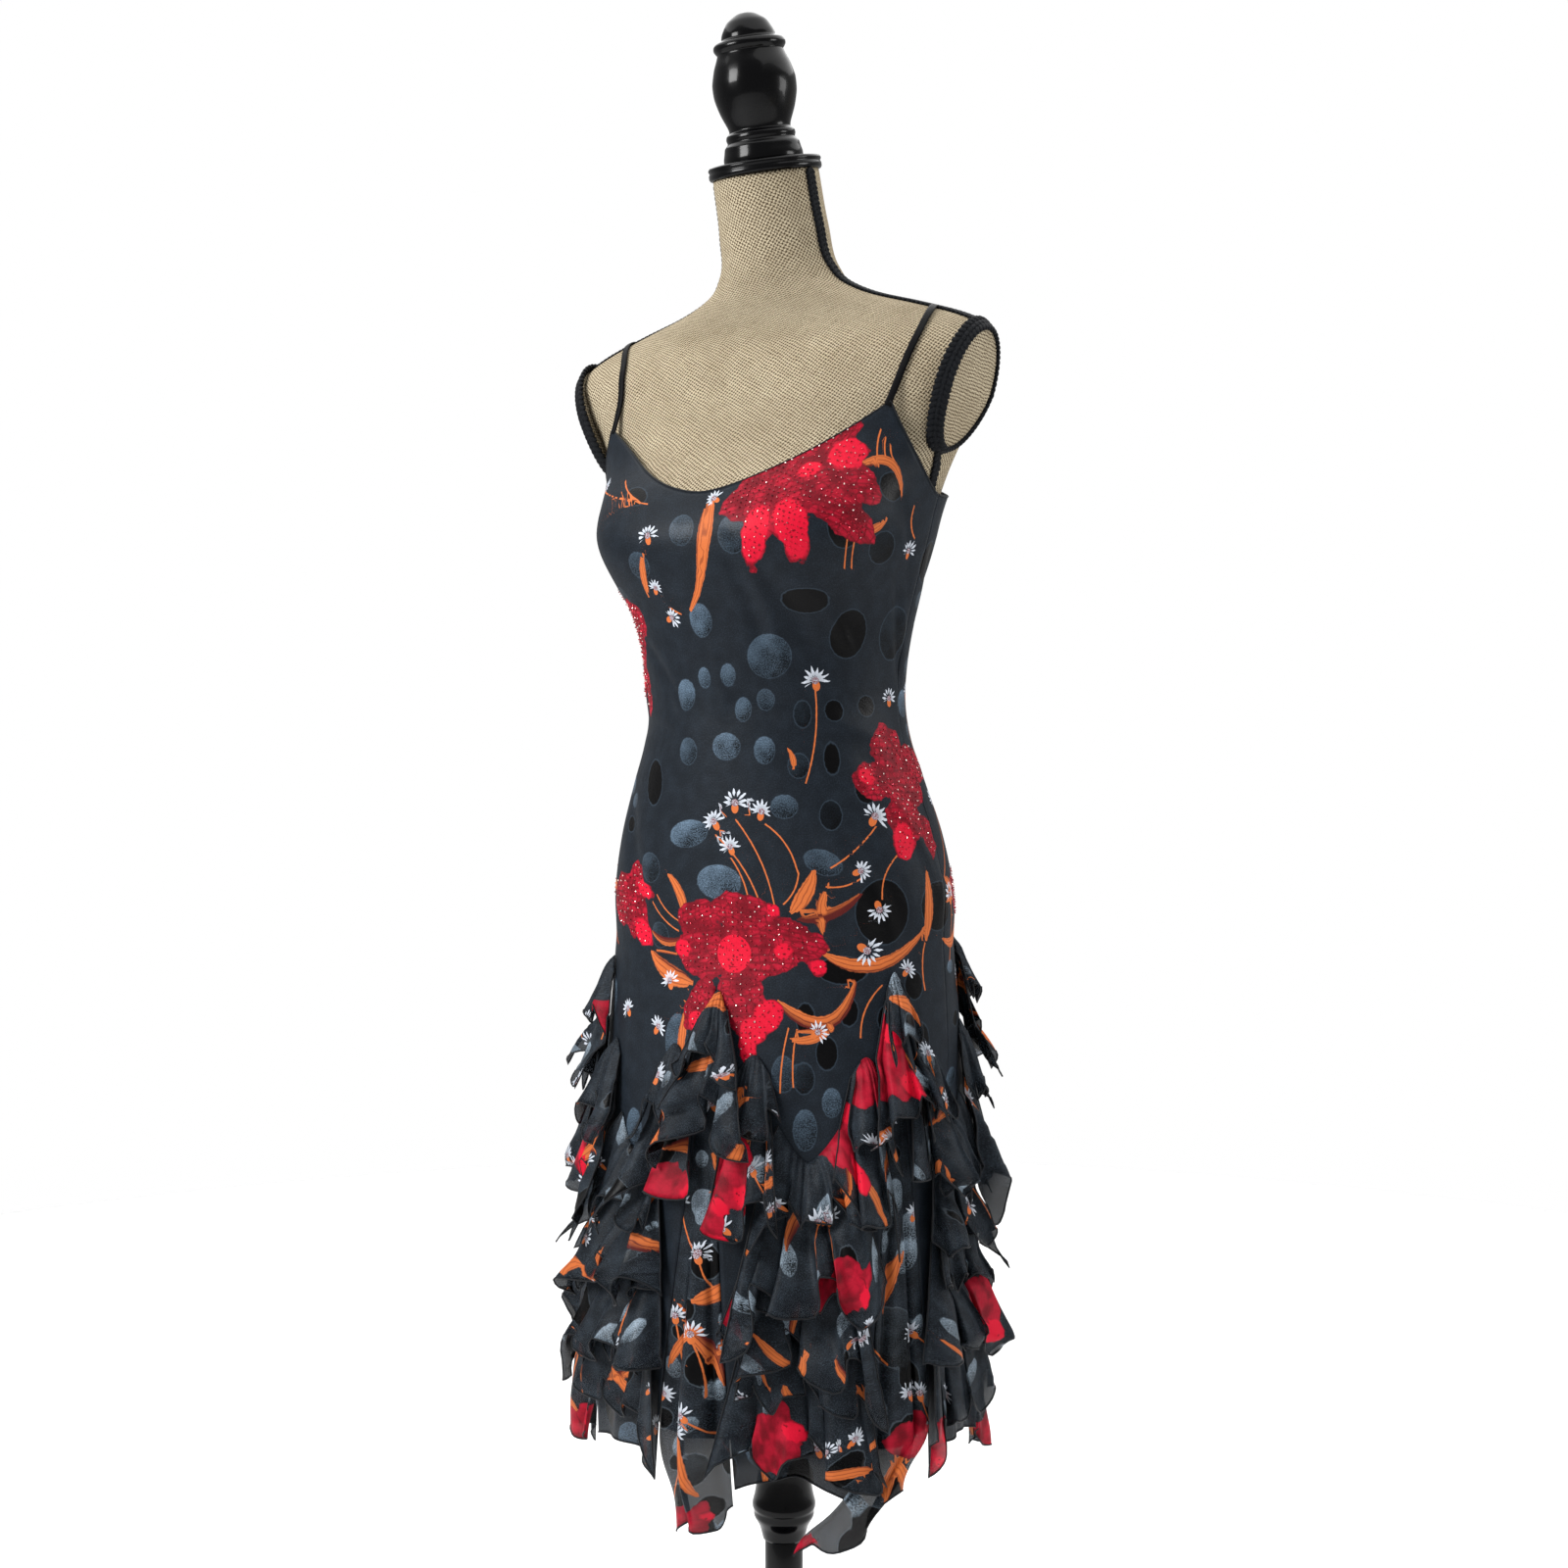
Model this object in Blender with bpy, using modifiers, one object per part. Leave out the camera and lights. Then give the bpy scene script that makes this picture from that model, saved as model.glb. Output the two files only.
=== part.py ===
"""A bias-cut slip dress with godets and tiered flounces, worn by a padded dress form on a turned stand.

Metres, +Z up. The origin is on the floor, at the centre of the stand's base. The form faces -Y.
"""

import math
from collections import namedtuple

import bpy
import numpy as np
from mathutils import Matrix, Vector
from mathutils.bvhtree import BVHTree

# Heights above the floor
CAMISOLE_FRONT = 1.243
STRAP_POINT = 1.317
UNDERARM = 1.245
BACK_EDGE = 1.240
BACK_STRAP_POINT = 1.262
GODET_TIP_MEAN = 0.850
GODET_TIP_TILT = 0.020
HEM_MEAN = 0.410
LINING_TOP = 0.788
LINING_HEM = 0.458
FORM_BOTTOM = 0.805

# Cloth sizes
BODY_WALL = 0.0016
FLOUNCE_WALL = 0.0011
LINING_WALL = 0.0011
FORM_CLEARANCE = 0.0041
SEAM_GAP = 0.0004
FOLD_DEPTH = 0.0095
GODET_HEM_ANGLE = math.radians(25)
STRAP_WIDTH = 0.0060
STRAP_WALL = 0.0014

# How each strap runs from the front over the shoulder to the back: distance outwards, y, height
STRAP_OVER_LEFT = [(0.1465, -0.0575, 1.343), (0.1555, -0.0490, 1.369), (0.1575, -0.0290, 1.392)]
STRAP_OVER_RIGHT = [(0.1330, -0.0605, 1.345), (0.1370, -0.0515, 1.371), (0.1470, -0.0310, 1.395)]
STRAP_BEHIND = [
    (0.1535, -0.0060, 1.404),
    (0.1510, 0.0160, 1.396),
    (0.1450, 0.0360, 1.376),
    (0.1370, 0.0560, 1.345),
    (0.1250, 0.0730, 1.305),
]

# Angles round the body, from the centre front towards the form's left
STRAP_ANGLE = math.radians(45)
BACK_STRAP_ANGLE = math.radians(135)
GODET_ANGLES = [math.radians(degrees) for degrees in (0, 60, 120, 180, 240, 300)]

# Body panels: rows from the top edge to the godet tips, and from there to the hem
ROWS_ABOVE = 13
ROWS_BELOW = 6
COLUMN_ANGLE = math.radians(7.5)

BODY_Y = -0.009

Section = namedtuple("Section", "height half_width front back centre_y lean square")
FORM_SECTIONS = [
    Section(0.805, 0.146, 0.094, 0.110, BODY_Y, 0, 2),
    Section(0.860, 0.157, 0.098, 0.120, BODY_Y, 0, 2),
    Section(0.910, 0.155, 0.099, 0.115, BODY_Y, 0, 2),
    Section(0.955, 0.146, 0.101, 0.107, BODY_Y, 0, 2),
    Section(1.000, 0.131, 0.102, 0.098, BODY_Y, 0, 2),
    Section(1.035, 0.118, 0.103, 0.086, BODY_Y, 0, 2),
    Section(1.068, 0.113, 0.104, 0.078, BODY_Y, 0, 2),
    Section(1.100, 0.115, 0.108, 0.075, BODY_Y, 0, 2),
    Section(1.135, 0.121, 0.112, 0.078, BODY_Y, 0, 2),
    Section(1.175, 0.131, 0.118, 0.087, BODY_Y, 0, 2),
    Section(1.215, 0.142, 0.119, 0.097, BODY_Y, 0, 2),
    Section(1.250, 0.151, 0.107, 0.103, BODY_Y, 0, 2),
    Section(1.283, 0.166, 0.088, 0.104, BODY_Y, 0, 2),
    Section(1.315, 0.186, 0.073, 0.096, BODY_Y, 0, 2.1),
    Section(1.343, 0.205, 0.063, 0.083, BODY_Y, 0, 2.4),
    Section(1.366, 0.212, 0.055, 0.069, BODY_Y, 0, 2.5),
    Section(1.382, 0.203, 0.049, 0.056, -0.007, 0, 2.3),
    Section(1.395, 0.180, 0.046, 0.051, -0.006, 0, 2.1),
    Section(1.409, 0.140, 0.045, 0.049, -0.005, 0, 2),
    Section(1.422, 0.099, 0.046, 0.050, -0.004, 2, 2),
    Section(1.436, 0.070, 0.048, 0.050, -0.004, 4, 2),
    Section(1.454, 0.055, 0.048, 0.049, -0.008, 8, 2),
    Section(1.489, 0.049, 0.046, 0.047, -0.018, 12, 2),
    Section(1.534, 0.047, 0.045, 0.045, -0.032, 15, 2),
]
FORM_ROWS = 29
ARM_END_HEIGHT = 1.334
ARM_END_X = 0.1800
ARM_END_SLOPE = math.radians(19)
ARM_END_HALF_HEIGHT = 0.056
ARM_END_HALF_DEPTH = 0.044
ARM_END_FORWARD = 0.012
SKIRT_SECTIONS = [
    Section(0.860, 0.1610, 0.102, 0.124, BODY_Y, 0, 2),
    Section(0.800, 0.1650, 0.108, 0.130, BODY_Y, 0, 2),
    Section(0.700, 0.1690, 0.120, 0.140, BODY_Y, 0, 2),
    Section(0.600, 0.1720, 0.130, 0.148, BODY_Y, 0, 2),
    Section(0.500, 0.1740, 0.137, 0.153, BODY_Y, 0, 2),
    Section(0.350, 0.1760, 0.142, 0.156, BODY_Y, 0, 2),
]
BUST_HEIGHT = 1.213
BUST_ANGLE = math.radians(38)
BUST_RISE = 0.027
BUST_SPREAD = math.radians(29)
BUST_TALL = 0.056

# Flounces: where each tier starts below the godet tips and how long it hangs; its middle, in degrees
# from the godet's middle, and its half widths at top and hem; how much longer its corners hang
Tier = namedtuple("Tier", "below_tip length middle top_half hem_half long_point short_point waves columns")
TIERS = {
    "tip": Tier(0.004, 0.096, 0, 2.5, 13, 0.42, 0.10, 1.4, 8),
    "side": Tier(0.064, 0.112, 12.5, 4.0, 11.0, 0.36, 0.00, 1.4, 7),
    "upper": Tier(0.138, 0.102, 30, 9.5, 20, 0.38, 0.05, 2.3, 12),
    "middle": Tier(0.208, 0.102, 30, 12.0, 22, 0.38, 0.04, 2.6, 12),
    "lower": Tier(0.276, 0.094, 30, 14.0, 22, 0.34, 0.08, 2.5, 12),
}
FLOUNCE_ROWS = 4
FLOUNCE_FLARE = 0.0245
FLOUNCE_RIPPLE = 0.0080
FLOUNCE_FOLD_OVER = 0.0065
FLOUNCE_SEAT = 0.0006
FLOUNCE_CLEARANCE = 0.0030

# Stand and neck block
BASE_RADIUS = 0.175
BASE_THICKNESS = 0.016
POST_RADIUS = 0.0125
PART_GAP = 0.0003
NECK_BLOCK_LEAN = math.radians(15)
NECK_BLOCK_Y = -0.032
NECK_BLOCK_HEIGHT = 1.534

# Heights of the hem's low points: each godet's two corners, and the middle of the gore on its left
Hem = namedtuple("Hem", "near_corner far_corner next_gore")
HEMS = [
    Hem(0.388, 0.399, 0.438),
    Hem(0.368, 0.402, 0.450),
    Hem(0.424, 0.411, 0.436),
    Hem(0.392, 0.406, 0.444),
    Hem(0.410, 0.386, 0.430),
    Hem(0.402, 0.413, 0.434),
]

Finish = namedtuple("Finish", "colour roughness metallic")
FINISHES = {
    "body_silk": Finish((0.020, 0.026, 0.032), 0.45, 0.0),
    "flounce_chiffon": Finish((0.035, 0.042, 0.050), 0.60, 0.0),
    "lining": Finish((0.008, 0.009, 0.011), 0.60, 0.0),
    "strap_satin": Finish((0.010, 0.010, 0.012), 0.40, 0.0),
    "form_burlap": Finish((0.560, 0.410, 0.240), 0.90, 0.0),
    "black_lacquer": Finish((0.006, 0.007, 0.009), 0.22, 0.0),
}


def clear_scene():
    """Removes what the scene holds at the start."""
    for item in list(bpy.data.objects):
        bpy.data.objects.remove(item)


def make_materials():
    """One Principled material for each finish, by name."""
    made = {}
    for name, finish in FINISHES.items():
        material = bpy.data.materials.new(name)
        material.use_nodes = True
        shader = material.node_tree.nodes["Principled BSDF"]
        shader.inputs["Base Color"].default_value = (*finish.colour, 1.0)
        shader.inputs["Roughness"].default_value = finish.roughness
        shader.inputs["Metallic"].default_value = finish.metallic
        made[name] = material
    return made


def new_object(name, points, faces, material, collection):
    """A mesh object from points and faces, in the collection."""
    mesh = bpy.data.meshes.new(name)
    mesh.from_pydata([tuple(point) for point in points], [], faces)
    mesh.materials.append(material)
    mesh.shade_smooth()
    item = bpy.data.objects.new(name, mesh)
    collection.objects.link(item)
    return item


def thicken(item, wall):
    """Gives an open cloth surface its wall, inwards from the outer face."""
    modifier = item.modifiers.new("wall", "SOLIDIFY")
    modifier.thickness = wall
    modifier.offset = -1.0
    modifier.use_even_offset = False


def smooth_step(value):
    """0 below 0, 1 above 1, and an even rise between."""
    share = min(1.0, max(0.0, value))
    return share * share * (3 - 2 * share)


def read_section(sections, height):
    """The section at a height, read from a table by a smooth curve through its rows."""
    heights = np.array([row.height for row in sections])
    order = np.argsort(heights)
    heights = heights[order]
    table = np.array([list(sections[i])[1:] for i in order])
    slopes = np.gradient(table, heights, axis=0)
    height_in = min(max(height, heights[0]), heights[-1])
    i = min(int(np.searchsorted(heights, height_in, side="right")) - 1, len(heights) - 2)
    span = heights[i + 1] - heights[i]
    t = (height_in - heights[i]) / span
    value = (
        (2 * t**3 - 3 * t**2 + 1) * table[i]
        + (t**3 - 2 * t**2 + t) * span * slopes[i]
        + (3 * t**2 - 2 * t**3) * table[i + 1]
        + (t**3 - t**2) * span * slopes[i + 1]
    )
    return Section(height, *value)


def wrapped(angle):
    """An angle between -pi and pi."""
    return math.remainder(angle, 2 * math.pi)


def oval_point(section, angle):
    """A point of a section's oval, squarer where the table says, lower in front where it leans."""
    depth = section.front if math.cos(angle) > 0 else section.back
    power = 2 / section.square
    x = section.half_width * math.copysign(abs(math.sin(angle)) ** power, math.sin(angle))
    y = -depth * math.copysign(abs(math.cos(angle)) ** power, math.cos(angle))
    z = section.height + y * math.tan(math.radians(section.lean))
    return Vector((x, y + section.centre_y, z))


def bust_rise(angle, height):
    """How far the bust stands out from the section's oval."""
    rise = 0.0
    for side in (-1, 1):
        across = wrapped(angle - side * BUST_ANGLE) / BUST_SPREAD
        up = (height - BUST_HEIGHT) / BUST_TALL
        rise += BUST_RISE * math.exp(-across * across - up * up)
    return rise


def form_point(angle, height):
    """A point of the dress form's surface."""
    point = oval_point(read_section(FORM_SECTIONS, height), angle)
    rise = bust_rise(angle, height)
    point += Vector((math.sin(angle), -math.cos(angle), 0)) * rise
    if 1.27 < height < 1.41:
        furthest = ARM_END_X + (height - ARM_END_HEIGHT) * math.tan(ARM_END_SLOPE)
        point.x = max(-furthest, min(furthest, point.x))
    return point


def godet_tip(angle):
    """The height at which the godets start, lowest at the front."""
    return GODET_TIP_MEAN - GODET_TIP_TILT * math.cos(angle)


def fold_out(angle, height):
    """How far the skirt swells at the godets and sinks between them."""
    tip = godet_tip(angle)
    share = smooth_step((tip - height) / (tip - HEM_MEAN))
    uneven = 1 + 0.25 * math.sin(2 * angle + 1.0)
    return FOLD_DEPTH * share**0.8 * uneven * math.cos(6 * angle)


def dress_point(angle, height, depth=0.0):
    """A point of the dress, at a depth under its outer face: on the form, and hanging from the hip."""
    out = FORM_CLEARANCE + BODY_WALL - depth
    hip = SKIRT_SECTIONS[0].height
    outward = Vector((math.sin(angle), -math.cos(angle), 0))
    out += 0.0020 * smooth_step((height - 1.220) / 0.04)
    if height >= hip + 0.05:
        bridge = 0.006 * math.exp(-((wrapped(angle) / 0.45) ** 2) - ((height - 1.20) / 0.06) ** 2)
        return form_point(angle, height) + outward * (out + bridge)
    skirt = oval_point(read_section(SKIRT_SECTIONS, height), angle) - outward * depth
    if height > hip:
        share = smooth_step((height - hip) / 0.05)
        upper = form_point(angle, height) + outward * out
        skirt = skirt.lerp(upper, share)
    return skirt + outward * fold_out(angle, height)


def top_edge(angle):
    """The height of the dress's upper edge: scooped front, strap points and a lower back."""
    turn = abs(wrapped(angle))
    side = math.pi / 2
    if turn <= STRAP_ANGLE:
        return CAMISOLE_FRONT + (STRAP_POINT - CAMISOLE_FRONT) * (turn / STRAP_ANGLE) ** 1.75
    if turn <= side:
        share = (side - turn) / (side - STRAP_ANGLE)
        return UNDERARM + (STRAP_POINT - UNDERARM) * share**1.5
    if turn <= BACK_STRAP_ANGLE:
        share = (turn - side) / (BACK_STRAP_ANGLE - side)
        return UNDERARM + (BACK_STRAP_POINT - UNDERARM) * share**2
    share = (math.pi - turn) / (math.pi - BACK_STRAP_ANGLE)
    return BACK_EDGE + (BACK_STRAP_POINT - BACK_EDGE) * share**2


def gore_hem(angle):
    """The height of the gores' hem at an angle, between a godet's far corner and the next one's near."""
    place = math.degrees(angle) % 360 / 60
    number = int(place) % 6
    across = (place - int(place) - 0.21) / 0.58
    far, middle = HEMS[number].far_corner, HEMS[number].next_gore
    near = HEMS[(number + 1) % 6].near_corner
    level = middle + 0.35 * ((far - middle) * (1 - across) + (near - middle) * across)
    bow = 0.165 * (middle - (far + near) / 2) + 0.0036
    return level + bow * (1 - (2 * across - 1) ** 2)


def body_height(angle, row):
    """The height of a row of a body panel."""
    top = top_edge(angle)
    tip = godet_tip(angle)
    if row <= ROWS_ABOVE:
        return top + (tip - top) * (row / ROWS_ABOVE) ** 1.25
    share = (row - ROWS_ABOVE) / ROWS_BELOW
    return tip + (gore_hem(angle) - tip) * share


def godet_half_angle(row):
    """Half the angle that a godet takes at a row of the body panels."""
    return max(0.0, (row - ROWS_ABOVE) / ROWS_BELOW) * GODET_HEM_ANGLE / 2


def make_shell(name, outer, inner, faces, material, collection):
    """A closed cloth shell from an outer face, the points under it and a wall round its edges."""
    count = len(outer)
    uses = {}
    for face in faces:
        for here, there in zip(face, face[1:] + face[:1]):
            uses[here, there] = uses.get((here, there), 0) + 1
    walls = []
    for here, there in uses:
        if (there, here) not in uses:
            walls.append((there, here, here + count, there + count))
    under = [tuple(point + count for point in face[::-1]) for face in faces]
    return new_object(name, outer + inner, faces + under + walls, material, collection)


def make_body_panel(name, seams, material, collection):
    """A body panel from the top edge to the hem, parted below the hip where the godets stand."""
    half_gap = SEAM_GAP / 2 / 0.16
    points, inner, index, faces = [], [], {}, []
    last = len(seams) - 2
    for strip in range(last + 1):
        columns = round((seams[strip + 1] - seams[strip]) / COLUMN_ANGLE)
        for row in range(ROWS_ABOVE + ROWS_BELOW + 1):
            spread = godet_half_angle(row)
            left = seams[strip] + (half_gap if strip == 0 else spread)
            right = seams[strip + 1] - (half_gap if strip == last else spread)
            if row > ROWS_ABOVE:
                left += half_gap if strip else 0.0
                right -= half_gap if strip < last else 0.0
            for column in range(columns + 1):
                shared = (row, strip - 1, "end")
                if column == 0 and strip and row <= ROWS_ABOVE:
                    index[row, strip, 0] = index[shared]
                    continue
                angle = left + (right - left) * column / columns
                index[row, strip, column] = len(points)
                height = body_height(angle, row)
                points.append(dress_point(angle, height))
                inner.append(dress_point(angle, height, BODY_WALL))
            index[row, strip, "end"] = index[row, strip, columns]
        for row in range(ROWS_ABOVE + ROWS_BELOW):
            for column in range(columns):
                faces.append(
                    (
                        index[row, strip, column],
                        index[row + 1, strip, column],
                        index[row + 1, strip, column + 1],
                        index[row, strip, column + 1],
                    )
                )
    return make_shell(name, points, inner, faces, material, collection)


def grid_faces(rows, columns, closed=False):
    """Quads of a grid whose points run row by row, downwards and towards the form's left."""
    width = columns if closed else columns + 1
    faces = []
    for row in range(rows):
        for column in range(columns):
            right = (column + 1) % width
            faces.append(
                (
                    row * width + column,
                    (row + 1) * width + column,
                    (row + 1) * width + right,
                    row * width + right,
                )
            )
    return faces


def make_godet(name, number, material, collection):
    """A wedge set into the skirt between two gores, hanging lower than they do at its corners."""
    columns = 4
    seam = GODET_ANGLES[number]
    gap = 1.5 * SEAM_GAP / 2 / 0.16
    hems = (HEMS[number].near_corner, HEMS[number].far_corner)
    points, inner = [], []
    rows = [ROWS_ABOVE + step for step in (0.5, 1, 2, 3, 4, 5, 6, 6.8)]
    for place, row in enumerate(rows):
        half = godet_half_angle(row)
        edges = [body_height(seam + side * godet_half_angle(row), row) for side in (-1, 1)]
        if place == len(rows) - 1:
            edges = hems
        for column in range(columns + 1):
            share = column / columns
            angle = seam + (half - gap) * (2 * share - 1)
            height = edges[0] + (edges[1] - edges[0]) * share
            points.append(dress_point(angle, height))
            inner.append(dress_point(angle, height, BODY_WALL))
    faces = grid_faces(len(rows) - 1, columns)
    return make_shell(name, points, inner, faces, material, collection)


def make_lining(name, material, collection):
    """The under-skirt that shows through the sheer hem."""
    columns, rows = 24, 3
    points = []
    for row in range(rows + 1):
        share = row / rows
        height = LINING_TOP + (LINING_HEM - LINING_TOP) * share
        tuck = BODY_WALL + 0.0005 + 0.012 * share
        for column in range(columns):
            angle = 2 * math.pi * column / columns
            outer = dress_point(angle, height)
            outward = Vector((math.sin(angle), -math.cos(angle), 0))
            points.append(outer - outward * tuck)
    item = new_object(name, points, grid_faces(rows, columns, True), material, collection)
    thicken(item, LINING_WALL)
    return item


def surface_of(items):
    """A search tree over the finished meshes of the items."""
    graph = bpy.context.evaluated_depsgraph_get()
    points, faces = [], []
    for item in items:
        mesh = item.evaluated_get(graph).to_mesh()
        mesh.calc_loop_triangles()
        start = len(points)
        points += [vertex.co.copy() for vertex in mesh.vertices]
        faces += [tuple(start + i for i in triangle.vertices) for triangle in mesh.loop_triangles]
    return BVHTree.FromPolygons(points, faces)


def reach(surface, axis, outward):
    """How far the surface reaches from a point of the skirt's axis, in about a direction."""
    furthest = 0.0
    for turn in (-0.008, -0.003, 0.003, 0.008):
        way = Matrix.Rotation(turn, 3, "Z") @ outward
        hit = surface.ray_cast(axis + way * 0.40, -way, 0.38)[0]
        if hit is not None:
            furthest = max(furthest, (hit - axis).dot(way))
    return furthest


def make_flounce(name, tier, axis_angle, side, seed, below, material, collection):
    """One flounce, seated along its top edge, flaring and rippling down to a pointed hem."""
    sway = math.sin(2.1 * seed + 0.4)
    lilt = math.sin(1.3 * seed - 2.6 * tier.waves + 0.8)
    centre = axis_angle + math.radians(tier.middle * side + 1.2 * sway)
    points_out = (tier.long_point, tier.short_point)
    left, right = points_out if side * math.cos(2.4 * seed) > 0 else points_out[::-1]
    top = godet_tip(centre) - tier.below_tip - 0.006 * lilt
    points = []
    for row in range(FLOUNCE_ROWS + 1):
        down = row / FLOUNCE_ROWS
        half = math.radians(tier.top_half + (tier.hem_half - tier.top_half) * down**0.7)
        for step in range(tier.columns + 1):
            across = 2 * step / tier.columns - 1
            phase = math.pi * tier.waves * across + 2.6 * lilt
            angle = centre + half * across + FLOUNCE_FOLD_OVER * down * math.sin(phase) / 0.17
            corner = left * across * across if across > 0 else right * across * across
            notch = 0.12 * (1 + 0.5 * sway) * math.cos(phase + 0.8)
            height = top - tier.length * down * (1 + corner + notch + 0.08 * lilt)
            out = FLOUNCE_FLARE * (1 + 0.2 * lilt) * down**1.1 + FLOUNCE_RIPPLE * down * math.cos(phase)
            axis = Vector((0, BODY_Y, height))
            away = dress_point(angle, height) - axis
            outward = away.normalized()
            clearance = FLOUNCE_SEAT if row == 0 else FLOUNCE_CLEARANCE
            least = reach(below, axis, outward) + clearance + FLOUNCE_WALL
            near = away.length + clearance + FLOUNCE_WALL
            distance = max(near, least) if row == 0 else max(away.length + out, near, least)
            points.append(axis + outward * distance)
    faces = grid_faces(FLOUNCE_ROWS, tier.columns)
    item = new_object(name, points, faces, material, collection)
    thicken(item, FLOUNCE_WALL)
    return item


def make_flounces(skirt, material, collection):
    """The flounces, from the lowest tier up, each tier hanging over the one below it."""
    layers = list(skirt)
    for tier_number, (tier_name, tier) in enumerate(reversed(TIERS.items())):
        bpy.context.view_layer.update()
        below = surface_of(layers)
        for number, seam in enumerate(GODET_ANGLES):
            sides = {"side": (("left", 1), ("right", -1))}.get(tier_name, ((tier_name, 1),))
            for place, (label, side) in enumerate(sides):
                seed = 1.7 * number + 3.1 * tier_number + 0.9 * place
                name = f"flounce_{label}_{number + 1}"
                layers.append(make_flounce(name, tier, seam, side, seed, below, material, collection))


def make_form(name, material, collection):
    """The padded torso and neck, closed at the hip and under the neck block."""
    columns = 32
    low, high = FORM_SECTIONS[0].height, FORM_SECTIONS[-1].height
    points = []
    for row in range(FORM_ROWS + 1):
        height = low + (high - low) * row / FORM_ROWS
        for column in range(columns):
            points.append(form_point(2 * math.pi * column / columns, height))
    faces = [face[::-1] for face in grid_faces(FORM_ROWS, columns, True)]
    faces.append(tuple(range(columns))[::-1])
    faces.append(tuple(range(FORM_ROWS * columns, (FORM_ROWS + 1) * columns)))
    return new_object(name, points, faces, material, collection)


def make_arm_end(name, side, material, collection):
    """The padded oval that closes the form where an arm would start, its lower end drawn forward."""
    columns = 20
    middle = Vector((side * ARM_END_X, BODY_Y, ARM_END_HEIGHT))
    up = Vector((side * math.sin(ARM_END_SLOPE), 0, math.cos(ARM_END_SLOPE)))
    out = Vector((side * math.cos(ARM_END_SLOPE), 0, -math.sin(ARM_END_SLOPE)))
    points = []
    for lift, size in ((PART_GAP, 0.93), (0.0016, 1.0), (0.0052, 1.0), (0.0066, 0.93)):
        for column in range(columns):
            turn = 2 * math.pi * column / columns
            low = max(0.0, -math.sin(turn))
            depth = ARM_END_HALF_DEPTH * math.cos(turn) * (1 - 0.15 * low) - ARM_END_FORWARD * low**1.5
            over = Vector((0, 1, 0)) * depth
            over += up * ARM_END_HALF_HEIGHT * math.sin(turn)
            points.append(middle + over * size + out * lift)
    faces = [face[::-side] for face in grid_faces(3, columns, True)]
    faces.append(tuple(range(columns))[::-side])
    faces.append(tuple(range(3 * columns, 4 * columns))[::side])
    return new_object(name, points, faces, material, collection)


def make_strap(name, side, form, material, collection):
    """A narrow strap from the front's strap point, over the shoulder, to the back."""
    path = (STRAP_OVER_LEFT if side > 0 else STRAP_OVER_RIGHT) + STRAP_BEHIND
    guide = [form_point(side * STRAP_ANGLE, STRAP_POINT + 0.0012)]
    guide += [Vector((side * x, y, z)) for x, y, z in path]
    guide.append(form_point(side * BACK_STRAP_ANGLE, BACK_STRAP_POINT + 0.0012))
    lane = smooth_path(guide, 26)
    tree = surface_of([form])
    rings = []
    for i, spot in enumerate(lane):
        normal = tree.find_nearest(spot)[1]
        ahead = (lane[min(i + 1, len(lane) - 1)] - lane[max(i - 1, 0)]).normalized()
        across = ahead.cross(normal).normalized() * STRAP_WIDTH / 2
        share = i / (len(lane) - 1)
        lift = 0.0016 + 0.0022 * (smooth_step(1 - share / 0.12) + smooth_step((share - 0.88) / 0.12))
        seats = []
        for edge in (spot - across, spot + across):
            seat, face_normal = tree.find_nearest(edge)[:2]
            seats.append(seat + face_normal * lift)
        up = (seats[1] - seats[0]).cross(ahead).normalized() * STRAP_WALL
        rings.append([seats[0], seats[1], seats[1] + up, seats[0] + up])
    points = [point for ring in rings for point in ring]
    faces = grid_faces(len(rings) - 1, 4, True)
    faces.append((0, 1, 2, 3))
    start = 4 * (len(rings) - 1)
    faces.append((start + 3, start + 2, start + 1, start))
    return new_object(name, points, faces, material, collection)


def smooth_path(guide, count):
    """Evenly numbered points on a smooth curve through the guide points."""
    found = []
    for i in range(count + 1):
        place = i / count * (len(guide) - 1)
        k = min(int(place), len(guide) - 2)
        t = place - k
        a = guide[max(k - 1, 0)]
        b, c = guide[k], guide[k + 1]
        d = guide[min(k + 2, len(guide) - 1)]
        found.append(
            0.5 * (2 * b + (c - a) * t + (2 * a - 5 * b + 4 * c - d) * t**2 + (3 * b - a - 3 * c + d) * t**3)
        )
    return found


def make_turned(name, profile, steps, material, collection):
    """A turned piece from its (radius, height) profile, top to bottom, on the Z axis."""
    mesh = bpy.data.meshes.new(name)
    points = [(radius, 0, height) for radius, height in profile]
    mesh.from_pydata(points, [(i, i + 1) for i in range(len(points) - 1)], [])
    mesh.materials.append(material)
    item = bpy.data.objects.new(name, mesh)
    collection.objects.link(item)
    modifier = item.modifiers.new("turn", "SCREW")
    modifier.steps = steps
    modifier.render_steps = steps
    modifier.use_merge_vertices = True
    modifier.merge_threshold = 0.00001
    return item


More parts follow.
